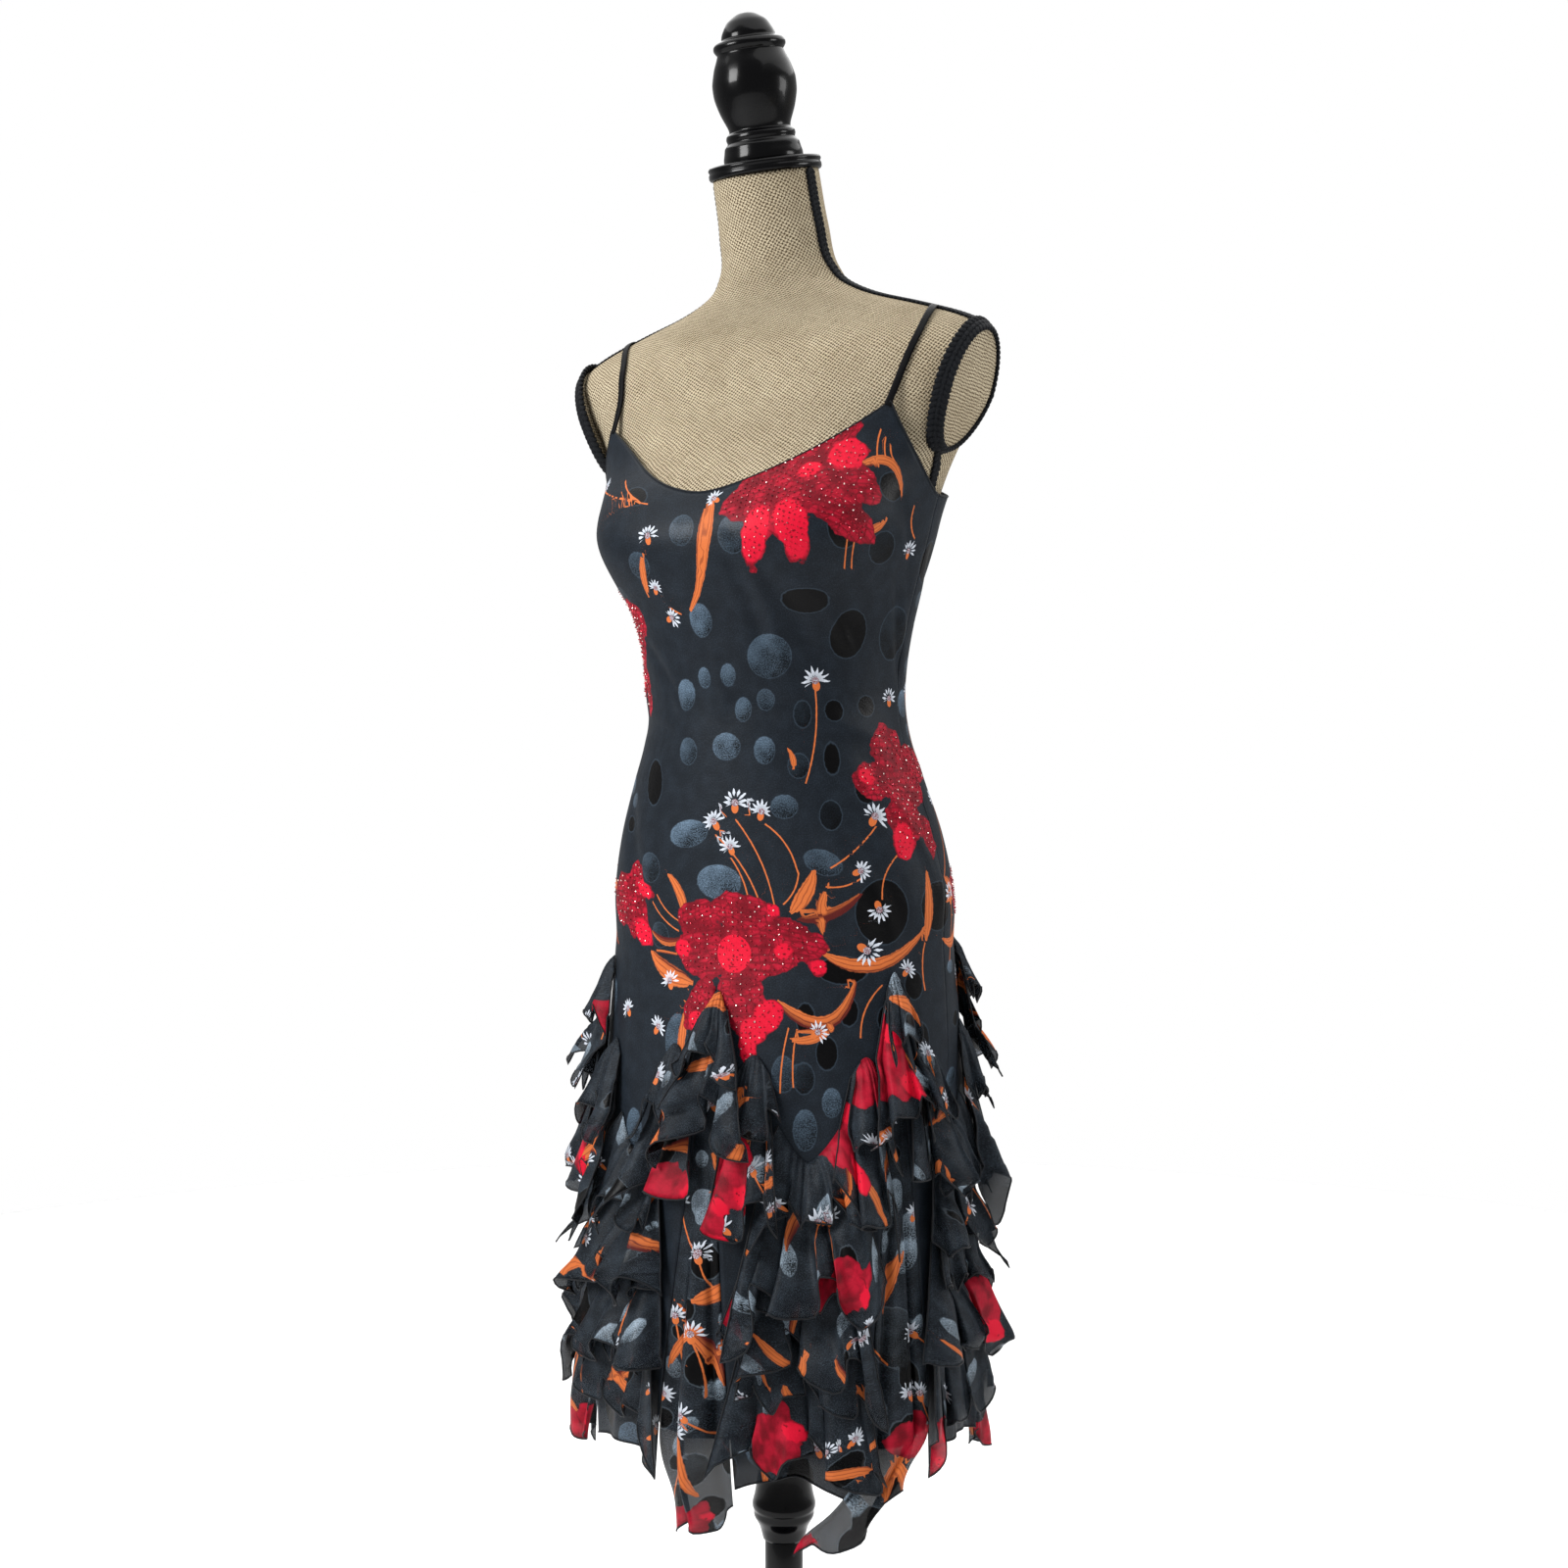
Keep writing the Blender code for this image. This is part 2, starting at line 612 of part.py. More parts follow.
def make_stand(finish, collection):
    """The base, the post up into the form, and the turned collar on the post."""
    top = BASE_THICKNESS
    make_turned(
        "stand_base",
        [
            (0, top + 0.012),
            (0.030, top + 0.012),
            (0.036, top + 0.003),
            (0.150, top),
            (BASE_RADIUS - 0.004, top - 0.003),
            (BASE_RADIUS, top - 0.008),
            (BASE_RADIUS, 0.002),
            (BASE_RADIUS - 0.003, 0),
            (0, 0),
        ],
        32,
        finish,
        collection,
    )
    low = top + 0.012 + PART_GAP
    make_turned(
        "stand_post_lower",
        [(0, 0.3235), (0.017, 0.3235), (0.017, low), (0, low)],
        16,
        finish,
        collection,
    )
    make_turned(
        "stand_collar",
        [
            (0, 0.462),
            (0.0165, 0.462),
            (0.0185, 0.450),
            (0.0170, 0.440),
            (0.0205, 0.418),
            (0.0232, 0.383),
            (0.0270, 0.362),
            (0.0282, 0.354),
            (0.0275, 0.348),
            (0.0265, 0.344),
            (0.0220, 0.335),
            (0.0190, 0.3238),
            (0, 0.3238),
        ],
        20,
        finish,
        collection,
    )
    make_turned(
        "stand_post_upper",
        [
            (0, FORM_BOTTOM - PART_GAP),
            (POST_RADIUS, FORM_BOTTOM - PART_GAP),
            (POST_RADIUS, 0.462 + PART_GAP),
            (0, 0.462 + PART_GAP),
        ],
        16,
        finish,
        collection,
    )


def make_neck_block(finish, collection):
    """The turned cap disc and finial that close the neck, leaning with it."""
    seat = bpy.data.objects.new("neck_block_seat", None)
    collection.objects.link(seat)
    seat.location = (0, NECK_BLOCK_Y, NECK_BLOCK_HEIGHT)
    seat.rotation_euler = (NECK_BLOCK_LEAN, 0, 0)
    disc_top = 0.0115
    disc = make_turned(
        "neck_disc",
        [
            (0, disc_top),
            (0.0480, disc_top),
            (0.0500, disc_top - 0.002),
            (0.0500, 0.0025),
            (0.0480, PART_GAP),
            (0, PART_GAP),
        ],
        24,
        finish,
        collection,
    )
    low = disc_top + PART_GAP
    finial = make_turned(
        "neck_finial",
        [
            (0, low + 0.1250),
            (0.0090, low + 0.1230),
            (0.0178, low + 0.1170),
            (0.0228, low + 0.1080),
            (0.0240, low + 0.1030),
            (0.0302, low + 0.1005),
            (0.0316, low + 0.0970),
            (0.0302, low + 0.0930),
            (0.0288, low + 0.0910),
            (0.0304, low + 0.0875),
            (0.0335, low + 0.0800),
            (0.0368, low + 0.0680),
            (0.0365, low + 0.0560),
            (0.0330, low + 0.0430),
            (0.0275, low + 0.0300),
            (0.0270, low + 0.0265),
            (0.0305, low + 0.0225),
            (0.0300, low + 0.0170),
            (0.0335, low + 0.0130),
            (0.0350, low + 0.0010),
            (0.0345, low),
            (0, low),
        ],
        24,
        finish,
        collection,
    )
    for item in (disc, finial):
        item.parent = seat


def main():
    """Builds the form, its stand and the dress."""
    clear_scene()
    collection = bpy.data.collections.new("slip_dress_on_form")
    bpy.context.scene.collection.children.link(collection)
    finishes = make_materials()
    form = make_form("form_torso", finishes["form_burlap"], collection)
    make_stand(finishes["black_lacquer"], collection)
    make_neck_block(finishes["black_lacquer"], collection)
    turn = math.radians
    front_seams = [turn(d) for d in (-90, -60, 0, 60, 90)]
    back_seams = [turn(d) for d in (90, 120, 180, 240, 270)]
    silk = finishes["body_silk"]
    skirt = [
        make_body_panel("front_body", front_seams, silk, collection),
        make_body_panel("back_body", back_seams, silk, collection),
    ]
    for number in range(len(GODET_ANGLES)):
        skirt.append(make_godet(f"godet_{number + 1}", number, finishes["flounce_chiffon"], collection))
    make_lining("lining_skirt", finishes["lining"], collection)
    for side, hand in ((1, "left"), (-1, "right")):
        make_arm_end(f"arm_end_{hand}", side, finishes["form_burlap"], collection)
        make_strap(f"strap_{hand}", side, form, finishes["strap_satin"], collection)
    make_flounces(skirt, finishes["flounce_chiffon"], collection)


main()
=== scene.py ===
"""Looks of a bias-cut slip dress with godets and pointed flounces, worn by a padded dress form on a stand."""

import logging
import random
from dataclasses import dataclass, field
from enum import Enum
from math import atan2, cos, degrees, hypot, pi, radians, sin, tan

import bpy
import numpy as np
from bpy.types import Material, Node, NodeSocket, NodeTree, Object
from mathutils import Matrix, Vector
from mathutils.bvhtree import BVHTree


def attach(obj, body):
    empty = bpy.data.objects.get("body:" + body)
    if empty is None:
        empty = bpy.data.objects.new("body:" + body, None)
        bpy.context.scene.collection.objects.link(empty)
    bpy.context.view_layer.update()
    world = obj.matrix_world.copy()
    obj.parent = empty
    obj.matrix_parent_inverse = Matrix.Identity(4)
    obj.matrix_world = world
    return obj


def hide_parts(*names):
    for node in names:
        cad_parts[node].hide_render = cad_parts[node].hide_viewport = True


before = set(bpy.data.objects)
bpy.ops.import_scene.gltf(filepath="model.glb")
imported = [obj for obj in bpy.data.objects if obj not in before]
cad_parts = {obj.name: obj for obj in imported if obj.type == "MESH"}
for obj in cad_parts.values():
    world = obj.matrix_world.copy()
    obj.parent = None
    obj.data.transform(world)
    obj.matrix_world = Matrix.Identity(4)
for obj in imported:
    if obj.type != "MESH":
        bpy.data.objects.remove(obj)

Array = np.ndarray
LOG = logging.getLogger("slip_dress")
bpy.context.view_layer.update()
BODY = "root"
BODY_Y = -0.009
GODET_STEP = radians(60)
HANDS = ((1, "left"), (-1, "right"))
LENGTHS = {"height", "to_height", "wide", "tall", "half", "bend", "width", "depth"}
LENGTHS |= {"half_width", "front", "back", "centre_y", "near_corner", "far_corner", "next_gore"}


class Cloth(Enum):
    """Material slot names, one passed along with each piece; nothing reads them."""

    SILK = "body_silk"
    CHIFFON = "flounce_chiffon"
    LINING = "lining"
    SATIN = "strap_satin"
    BURLAP = "form_burlap"
    LACQUER = "black_lacquer"


class Motif(Enum):
    """What is printed or burnt out on the cloth."""

    OVAL = "oval"
    DAISY = "daisy"
    LEAF = "leaf"
    STEM = "stem"
    BLOOM = "bloom"


def table(kind: type, columns: str, *rows: tuple[object, ...]) -> tuple:
    """An object for each row, whose numbers fill the columns in order, with lengths in millimetres."""
    named = [zip(columns.split(), row) for row in rows]
    return tuple(kind(**{key: v / 1000 if key in LENGTHS else v for key, v in row}) for row in named)


def smooth_step(value: Array) -> Array:
    """0 below 0, 1 above 1, and an even rise between."""
    share = np.clip(value, 0.0, 1.0)
    return share * share * (3 - 2 * share)


def wrapped(angle: Array) -> Array:
    """Angles brought between -pi and pi."""
    return (np.asarray(angle) + pi) % (2 * pi) - pi


def outward_of(angles: Array) -> Array:
    """The level direction away from the body at each angle."""
    angles = np.asarray(angles, float)
    return np.stack([np.sin(angles), -np.cos(angles), np.zeros_like(angles)], axis=-1)


def run_of(grid: Array, axis: int) -> Array:
    """The length of each step of a grid of points along one of its axes."""
    return np.linalg.norm(np.diff(grid, axis=axis), axis=-1)


def summed(steps: Array, axis: int) -> Array:
    """The running total of steps along an axis, from 0."""
    first = np.zeros_like(np.take(steps, [0], axis))
    return np.concatenate([first, np.cumsum(steps, axis=axis)], axis=axis)


def swung(right: Array, up: Array, swing: float) -> tuple[Array, Array]:
    """Two directions, both turned in their plane by an angle."""
    return right * cos(swing) - up * sin(swing), up * cos(swing) + right * sin(swing)


def hermite(t: Array, low: Array, rise: Array, high: Array, fall: Array) -> Array:
    """The value at t, from 0 to 1, on a smooth curve from low to high with the slopes rise and fall."""
    near, far = 2 * t**3 - 3 * t**2 + 1, 3 * t**2 - 2 * t**3
    return near * low + (t**3 - 2 * t**2 + t) * rise + far * high + (t**3 - t**2) * fall


def smooth_line(guide: Array | tuple | list, count: int, tension: float = 0.5) -> Array:
    """Evenly numbered points on a smooth curve through guide points.

    Args:
        guide: the points that it passes through.
        count: how many steps it has.
        tension: how much of the way between a point's neighbours its slope is.

    Returns:
        The points.
    """
    guide = np.array(guide)
    held = np.concatenate([guide[:1], guide, guide[-1:]])
    slopes = tension * (held[2:] - held[:-2])
    place = np.linspace(0, len(guide) - 1, count + 1)
    near = np.minimum(place.astype(int), len(guide) - 2)
    t = (place - near)[:, None]
    return hermite(t, guide[near], slopes[near], guide[near + 1], slopes[near + 1])


def smooth_path(guide: list[Vector], count: int) -> list[Vector]:
    """Evenly numbered points on a smooth curve through guide points, in the precision of Vector.

    Args:
        guide: the points that it passes through.
        count: how many steps it has.

    Returns:
        The points.
    """
    found, last = [], len(guide) - 1
    for i in range(count + 1):
        place = i / count * last
        k = min(int(place), last - 1)
        t = place - k
        a, b, c, d = guide[max(k - 1, 0)], guide[k], guide[k + 1], guide[min(k + 2, last)]
        square, cube = 2 * a - 5 * b + 4 * c - d, 3 * b - a - 3 * c + d
        found.append(0.5 * (2 * b + (c - a) * t + square * t**2 + cube * t**3))
    return found


@dataclass(frozen=True)
class Section:
    """One cross-section: an oval, squarer where square is over 2, lower in front by its lean in degrees."""

    height: float
    half_width: float
    front: float
    back: float
    centre_y: float = BODY_Y
    lean: float = 0.0
    square: float = 2.0


SECTION = "height half_width front back centre_y lean square"


class Loft:
    """A smooth stack of cross-sections."""

    def __init__(self, rows: tuple[Section, ...]) -> None:
        """Keeps the rows sorted by height, with the slope of each size.

        Args:
            rows: the cross-sections.
        """
        rows = sorted(rows, key=lambda row: row.height)
        self.heights = np.array([row.height for row in rows])
        names = SECTION.split()[1:]
        self.table = np.array([[getattr(row, name) for name in names] for row in rows])
        self.slopes = np.gradient(self.table, self.heights, axis=0)

    def read(self, heights: Array) -> Array:
        """The sizes at each height.

        Args:
            heights: heights above the floor.

        Returns:
            A row of six sizes for each height.
        """
        inside = np.clip(heights, self.heights[0], self.heights[-1])
        low = np.clip(np.searchsorted(self.heights, inside, side="right") - 1, 0, len(self.heights) - 2)
        span = (self.heights[low + 1] - self.heights[low])[..., None]
        t = ((inside - self.heights[low])[..., None]) / span
        rise, fall = span * self.slopes[low], span * self.slopes[low + 1]
        return hermite(t, self.table[low], rise, self.table[low + 1], fall)

    def oval(self, angles: Array, heights: Array) -> Array:
        """Points of the ovals.

        Args:
            angles: angles round the body.
            heights: heights above the floor.

        Returns:
            The points, with a last axis of three.
        """
        width, front, back, centre_y, lean, square = np.moveaxis(self.read(heights), -1, 0)
        sine, cosine = np.sin(angles), np.cos(angles)
        power = 2 / square
        x = width * np.sign(sine) * np.abs(sine) ** power
        y = -np.where(cosine > 0, front, back) * np.sign(cosine) * np.abs(cosine) ** power
        z = heights + y * np.tan(np.radians(lean))
        return np.stack([x, y + centre_y, z], axis=-1)


FIGURE_SECTIONS = table(
    Section, SECTION,
    (805, 146, 94, 110), (860, 157, 98, 120), (910, 155, 99, 115), (955, 146, 101, 107),
    (1000, 131, 102, 98), (1035, 118, 103, 86), (1068, 113, 104, 78), (1100, 115, 108, 75),
    (1135, 121, 112, 78), (1175, 131, 118, 87), (1215, 142, 119, 97), (1250, 151, 107, 103),
    (1283, 166, 88, 104), (1315, 186, 73, 96, -9, 0, 2.1), (1343, 205, 63, 83, -9, 0, 2.4),
    (1366, 212, 55, 69, -9, 0, 2.5), (1382, 203, 49, 56, -7, 0, 2.3), (1395, 180, 46, 51, -6, 0, 2.1),
    (1409, 140, 45, 49, -5), (1422, 99, 46, 50, -4, 2), (1436, 70, 48, 50, -4, 4), (1454, 55, 48, 49, -8, 8),
    (1489, 49, 46, 47, -18, 12), (1534, 47, 45, 45, -32, 15),
)
SKIRT_SECTIONS = table(
    Section, SECTION,
    (860, 161, 102, 124), (800, 165, 108, 130), (700, 169, 120, 140), (600, 172, 130, 148),
    (500, 174, 137, 153), (350, 176, 142, 156),
)


@dataclass(frozen=True)
class FigureShape:
    """The dress form's own surface."""

    bust_height: float = 1.213
    bust_angle: float = radians(38)
    bust_rise: float = 0.027
    bust_spread: float = radians(29)
    bust_tall: float = 0.056
    arm_end_height: float = 1.334
    arm_end_x: float = 0.1800
    arm_end_slope: float = radians(19)
    arm_end_low: float = 1.27
    arm_end_high: float = 1.41
    low: float = 0.805
    high: float = 1.534
    loft: Loft = field(default_factory=lambda: Loft(FIGURE_SECTIONS))

    def points(self, angles: Array, heights: Array) -> Array:
        """Points of the form.

        Args:
            angles: angles round the body, from the centre front towards the form's left.
            heights: heights above the floor.

        Returns:
            The points, in the shape of the arguments with a last axis of three.
        """
        angles, heights = np.broadcast_arrays(np.asarray(angles, float), np.asarray(heights, float))
        found = self.loft.oval(angles, heights)
        rise = np.zeros_like(angles)
        for side in (-1, 1):
            across = wrapped(angles - side * self.bust_angle) / self.bust_spread
            up = (heights - self.bust_height) / self.bust_tall
            rise = rise + self.bust_rise * np.exp(-across * across - up * up)
        found = found + outward_of(angles) * rise[..., None]
        furthest = self.arm_end_x + (heights - self.arm_end_height) * tan(self.arm_end_slope)
        furthest = np.where((heights > self.arm_end_low) & (heights < self.arm_end_high), furthest, 1.0)
        found[..., 0] = np.clip(found[..., 0], -furthest, furthest)
        return found


@dataclass(frozen=True)
class Crease:
    """A soft trough or ridge in the cloth, from one place to another, by angle in degrees and height."""

    angle: float
    height: float
    to_angle: float
    to_height: float
    width: float
    depth: float


CREASES = table(
    Crease, "angle height to_angle to_height width depth",
    (6, 1215, 22, 1120, 7, -1.1), (14, 1190, 30, 1095, 6, 1), (22, 1175, 44, 1100, 8, -1),
    (34, 1165, 58, 1110, 6, 0.9), (-6, 1150, 4, 1060, 8, 0.8), (66, 1235, 84, 1150, 7, -1.4),
    (70, 1215, 88, 1120, 6, 1.2), (74, 1180, 90, 1090, 7, -1.2), (-70, 1225, -50, 1130, 8, -1.3),
    (-86, 1150, -58, 1070, 8, 1.2), (-40, 1120, -18, 1060, 7, -0.9), (12, 1070, 50, 1045, 9, -1),
    (30, 1055, 78, 1035, 8, 1.1), (-60, 1050, -20, 1035, 9, -1.1), (60, 1020, 88, 975, 10, -1.3),
    (70, 990, 88, 900, 10, 1.3), (40, 960, 60, 850, 12, 1.4), (-50, 980, -30, 860, 12, -1.3),
    (100, 1200, 130, 1110, 8, -1.2), (120, 1140, 160, 1070, 9, 1.3), (150, 1090, 205, 1055, 9, -1.4),
    (165, 1060, 225, 1035, 10, 1.2), (215, 1180, 250, 1090, 8, -1.2), (235, 1120, 262, 1040, 9, 1.1),
    (110, 1000, 130, 880, 12, -1.4), (170, 990, 185, 860, 13, 1.2), (225, 990, 240, 860, 12, -1.3),
)


@dataclass(frozen=True)
class GodetHem:
    """The heights of a godet's two corners, and of the middle of the gore on its left."""

    near_corner: float
    far_corner: float
    next_gore: float


HEMS = table(
    GodetHem, "near_corner far_corner next_gore",
    (388, 399, 438), (368, 402, 450), (424, 411, 436), (392, 406, 444), (410, 386, 430), (402, 413, 434),
)


@dataclass(frozen=True)
class DressShape:
    """The dress's own surface: close to the form above the hip, hanging in folds below."""

    figure: FigureShape
    wall: float = 0.0016
    clearance: float = 0.0041
    arm_clearance: float = 0.0020
    bust_bridge: float = 0.006
    strap_angle: float = radians(45)
    back_strap_angle: float = radians(135)
    camisole_front: float = 1.243
    strap_point: float = 1.317
    underarm: float = 1.245
    back_edge: float = 1.240
    back_strap_point: float = 1.262
    tip_mean: float = 0.850
    tip_tilt: float = 0.020
    hem_mean: float = 0.410
    fold_depth: float = 0.0095
    godet_half: float = radians(12.5)
    hip: float = 0.860
    hip_blend: float = 0.05
    crease_radius: float = 0.13
    crease_strength: float = 2.3
    crease_sway: float = 0.004
    ripple_depth: float = 0.0016
    ripple_top: float = 0.02
    ripple_grow: float = 0.30
    deep_ripples: float = 0.58
    deep_blend: float = 0.14
    arm_low: float = 1.220
    arm_blend: float = 0.04
    bridge_height: float = 1.20
    bridge_tall: float = 0.06
    bridge_spread: float = 0.45
    gore_start: float = 0.21
    gore_span: float = 0.58
    skirt: Loft = field(default_factory=lambda: Loft(SKIRT_SECTIONS))
    hems: tuple[GodetHem, ...] = HEMS
    creases: tuple[Crease, ...] = CREASES

    def godet_tip(self, angles: Array) -> Array:
        """The height at which the godets start, lowest at the front."""
        return self.tip_mean - self.tip_tilt * np.cos(angles)

    def fold_out(self, angles: Array, heights: Array) -> Array:
        """How far the skirt swells at the godets and sinks between them.

        Args:
            angles: angles round the body.
            heights: heights above the floor.

        Returns:
            The distance outwards at each place.
        """
        tip = self.godet_tip(angles)
        share = smooth_step((tip - heights) / (tip - self.hem_mean))
        uneven = 1 + 0.25 * np.sin(2 * angles + 1.0)
        return self.fold_depth * share**0.8 * uneven * np.cos(6 * angles)

    def crease_out(self, angles: Array, heights: Array) -> Array:
        """How far the creases lift or sink the cloth.

        Args:
            angles: angles round the body.
            heights: heights above the floor.

        Returns:
            The distance outwards at each place.
        """
        out = np.zeros_like(heights)
        for crease in self.creases:
            start = np.array([radians(crease.angle) * self.crease_radius, crease.height])
            way = np.array([radians(crease.to_angle) * self.crease_radius, crease.to_height]) - start
            length = float(np.hypot(*way))
            way = way / length
            middle = radians((crease.angle + crease.to_angle) / 2)
            across = (wrapped(angles - middle) + middle) * self.crease_radius - start[0]
            up = heights - start[1]
            along = (across * way[0] + up * way[1]) / length
            aside = across * way[1] - up * way[0] + self.crease_sway * np.sin(along * 3.1)
            fade = smooth_step(along * 3 + 0.5) * smooth_step((1 - along) * 3 + 0.5)
            out = out + self.crease_strength * crease.depth * fade * np.exp(-((aside / crease.width) ** 2))
        return out

    def ripple_out(self, angles: Array, heights: Array) -> Array:
        """The fine hanging folds of the skirt, uneven from place to place and deeper towards the hem.

        Args:
            angles: angles round the body.
            heights: heights above the floor.

        Returns:
            The distance outwards at each place.
        """
        tip = self.godet_tip(angles)
        share = smooth_step((tip - self.ripple_top - heights) / self.ripple_grow)
        wave = np.sin(17 * angles + 1.3 * np.sin(3 * angles) + 2.0 * (tip - heights))
        wave = wave + 0.6 * np.sin(29 * angles + 0.7 + 1.5 * np.sin(4 * angles))
        deeper = smooth_step((self.deep_ripples - heights) / self.deep_blend)
        return self.ripple_depth * share * (1 + 1.3 * deeper) * wave

    def points(self, angles: Array, heights: Array, depth: float = 0.0, plain: bool = False) -> Array:
        """Points of the dress at angles and heights.

        Args:
            angles: angles round the body.
            heights: heights above the floor.
            depth: how far under the outer face.
            plain: leaves out the creases and fine folds.

        Returns:
            The points, with a last axis of three.
        """
        angles, heights = np.broadcast_arrays(np.asarray(angles, float), np.asarray(heights, float))
        outward = outward_of(angles)
        near_arm = smooth_step((heights - self.arm_low) / self.arm_blend)
        out = self.clearance + self.wall - depth + self.arm_clearance * near_arm
        across, up = wrapped(angles) / self.bridge_spread, (heights - self.bridge_height) / self.bridge_tall
        bridge = self.bust_bridge * np.exp(-(across**2) - up**2)
        near_hip = smooth_step((heights - self.hip) / self.hip_blend)
        upper = self.figure.points(angles, heights)
        upper = upper + outward * (out + bridge * (heights >= self.hip + self.hip_blend))[..., None]
        lower = self.skirt.oval(angles, heights) - outward * depth
        found = lower * (1 - near_hip)[..., None] + upper * near_hip[..., None]
        shift = self.fold_out(angles, heights) * (1 - near_hip)
        if not plain:
            shift = shift + self.crease_out(angles, heights) + self.ripple_out(angles, heights)
        return found + outward * shift[..., None]

    def top_edge(self, angles: Array) -> Array:
        """The upper edge: scooped front, strap points and a lower back.

        Args:
            angles: angles round the body.

        Returns:
            The edge's height at each angle.
        """
        turn, side = np.abs(wrapped(angles)), pi / 2
        share = np.minimum(turn / self.strap_angle, 1)
        front = self.camisole_front + (self.strap_point - self.camisole_front) * share**1.75
        share = np.clip((side - turn) / (side - self.strap_angle), 0, 1)
        under = self.underarm + (self.strap_point - self.underarm) * share**1.5
        share = np.clip((turn - side) / (self.back_strap_angle - side), 0, 1)
        behind = self.underarm + (self.back_strap_point - self.underarm) * share**2
        share = np.clip((pi - turn) / (pi - self.back_strap_angle), 0, 1)
        back = self.back_edge + (self.back_strap_point - self.back_edge) * share**2
        found = np.where(turn <= self.back_strap_angle, behind, back)
        found = np.where(turn <= side, under, found)
        return np.where(turn <= self.strap_angle, front, found)

    def gore_hem(self, angles: Array) -> Array:
        """The gores' hem, between a godet's far corner and the next one's near corner.

        Args:
            angles: angles round the body.

        Returns:
            The hem's height at each angle.
        """
        place = np.degrees(angles) % 360 / 60
        number = np.floor(place).astype(int) % 6
        across = (place - np.floor(place) - self.gore_start) / self.gore_span
        corners = np.array([(hem.far_corner, hem.next_gore) for hem in self.hems])
        far, middle = np.moveaxis(corners[number], -1, 0)
        near = np.array([hem.near_corner for hem in self.hems])[(number + 1) % 6]
        rise = 0.55 * (middle - (far + near) / 2) + 0.012
        level = middle + 0.35 * ((far - middle) * (1 - across) + (near - middle) * across)
        return level + rise * (1 - (2 * across - 1) ** 2) * 0.3


@dataclass(frozen=True)
class Lobe:
    """One oval lobe of a bloom, in millimetres and degrees from the bloom's middle."""

    x: float
    y: float
    long_half: float
    short_half: float
    turn: float = 0.0
    bright: bool = False


@dataclass(frozen=True)
class Mark:
    """One motif at its place: its middle, the directions right and up on the cloth, and its sizes.

    sizes are half sizes of an oval, the radius of a daisy, or the half width of a leaf or stem, and path
    is the leaf's or stem's line in the mark's own plane. tone is an oval's lightness, from velvet to satin
    and in places painted sheen, or a leaf's darkness.
    """

    kind: Motif
    centre: Array
    right: Array
    up: Array
    sizes: tuple[float, float] = (0.01, 0.01)
    tone: float = 0.0
    path: Array | None = None
    lobes: tuple[Lobe, ...] = ()
    disc: float = 0.0


FAR = 1000.0
CLEAR = 50.0
STEEP = 200.0
OVAL_REACH = 0.03
BLOOM_REACH = 0.14
DAISY_REACH = 1.8
LINE_REACH = 20.0
PETAL_EDGE = 1.25


def stretched(value: Array, limit: float) -> Array:
    """Signed values, made very large past a limit, so that two marks never blend into a third."""
    size = np.abs(value)
    return np.sign(value) * np.where(size < limit, size, limit + (size - limit) * STEEP)


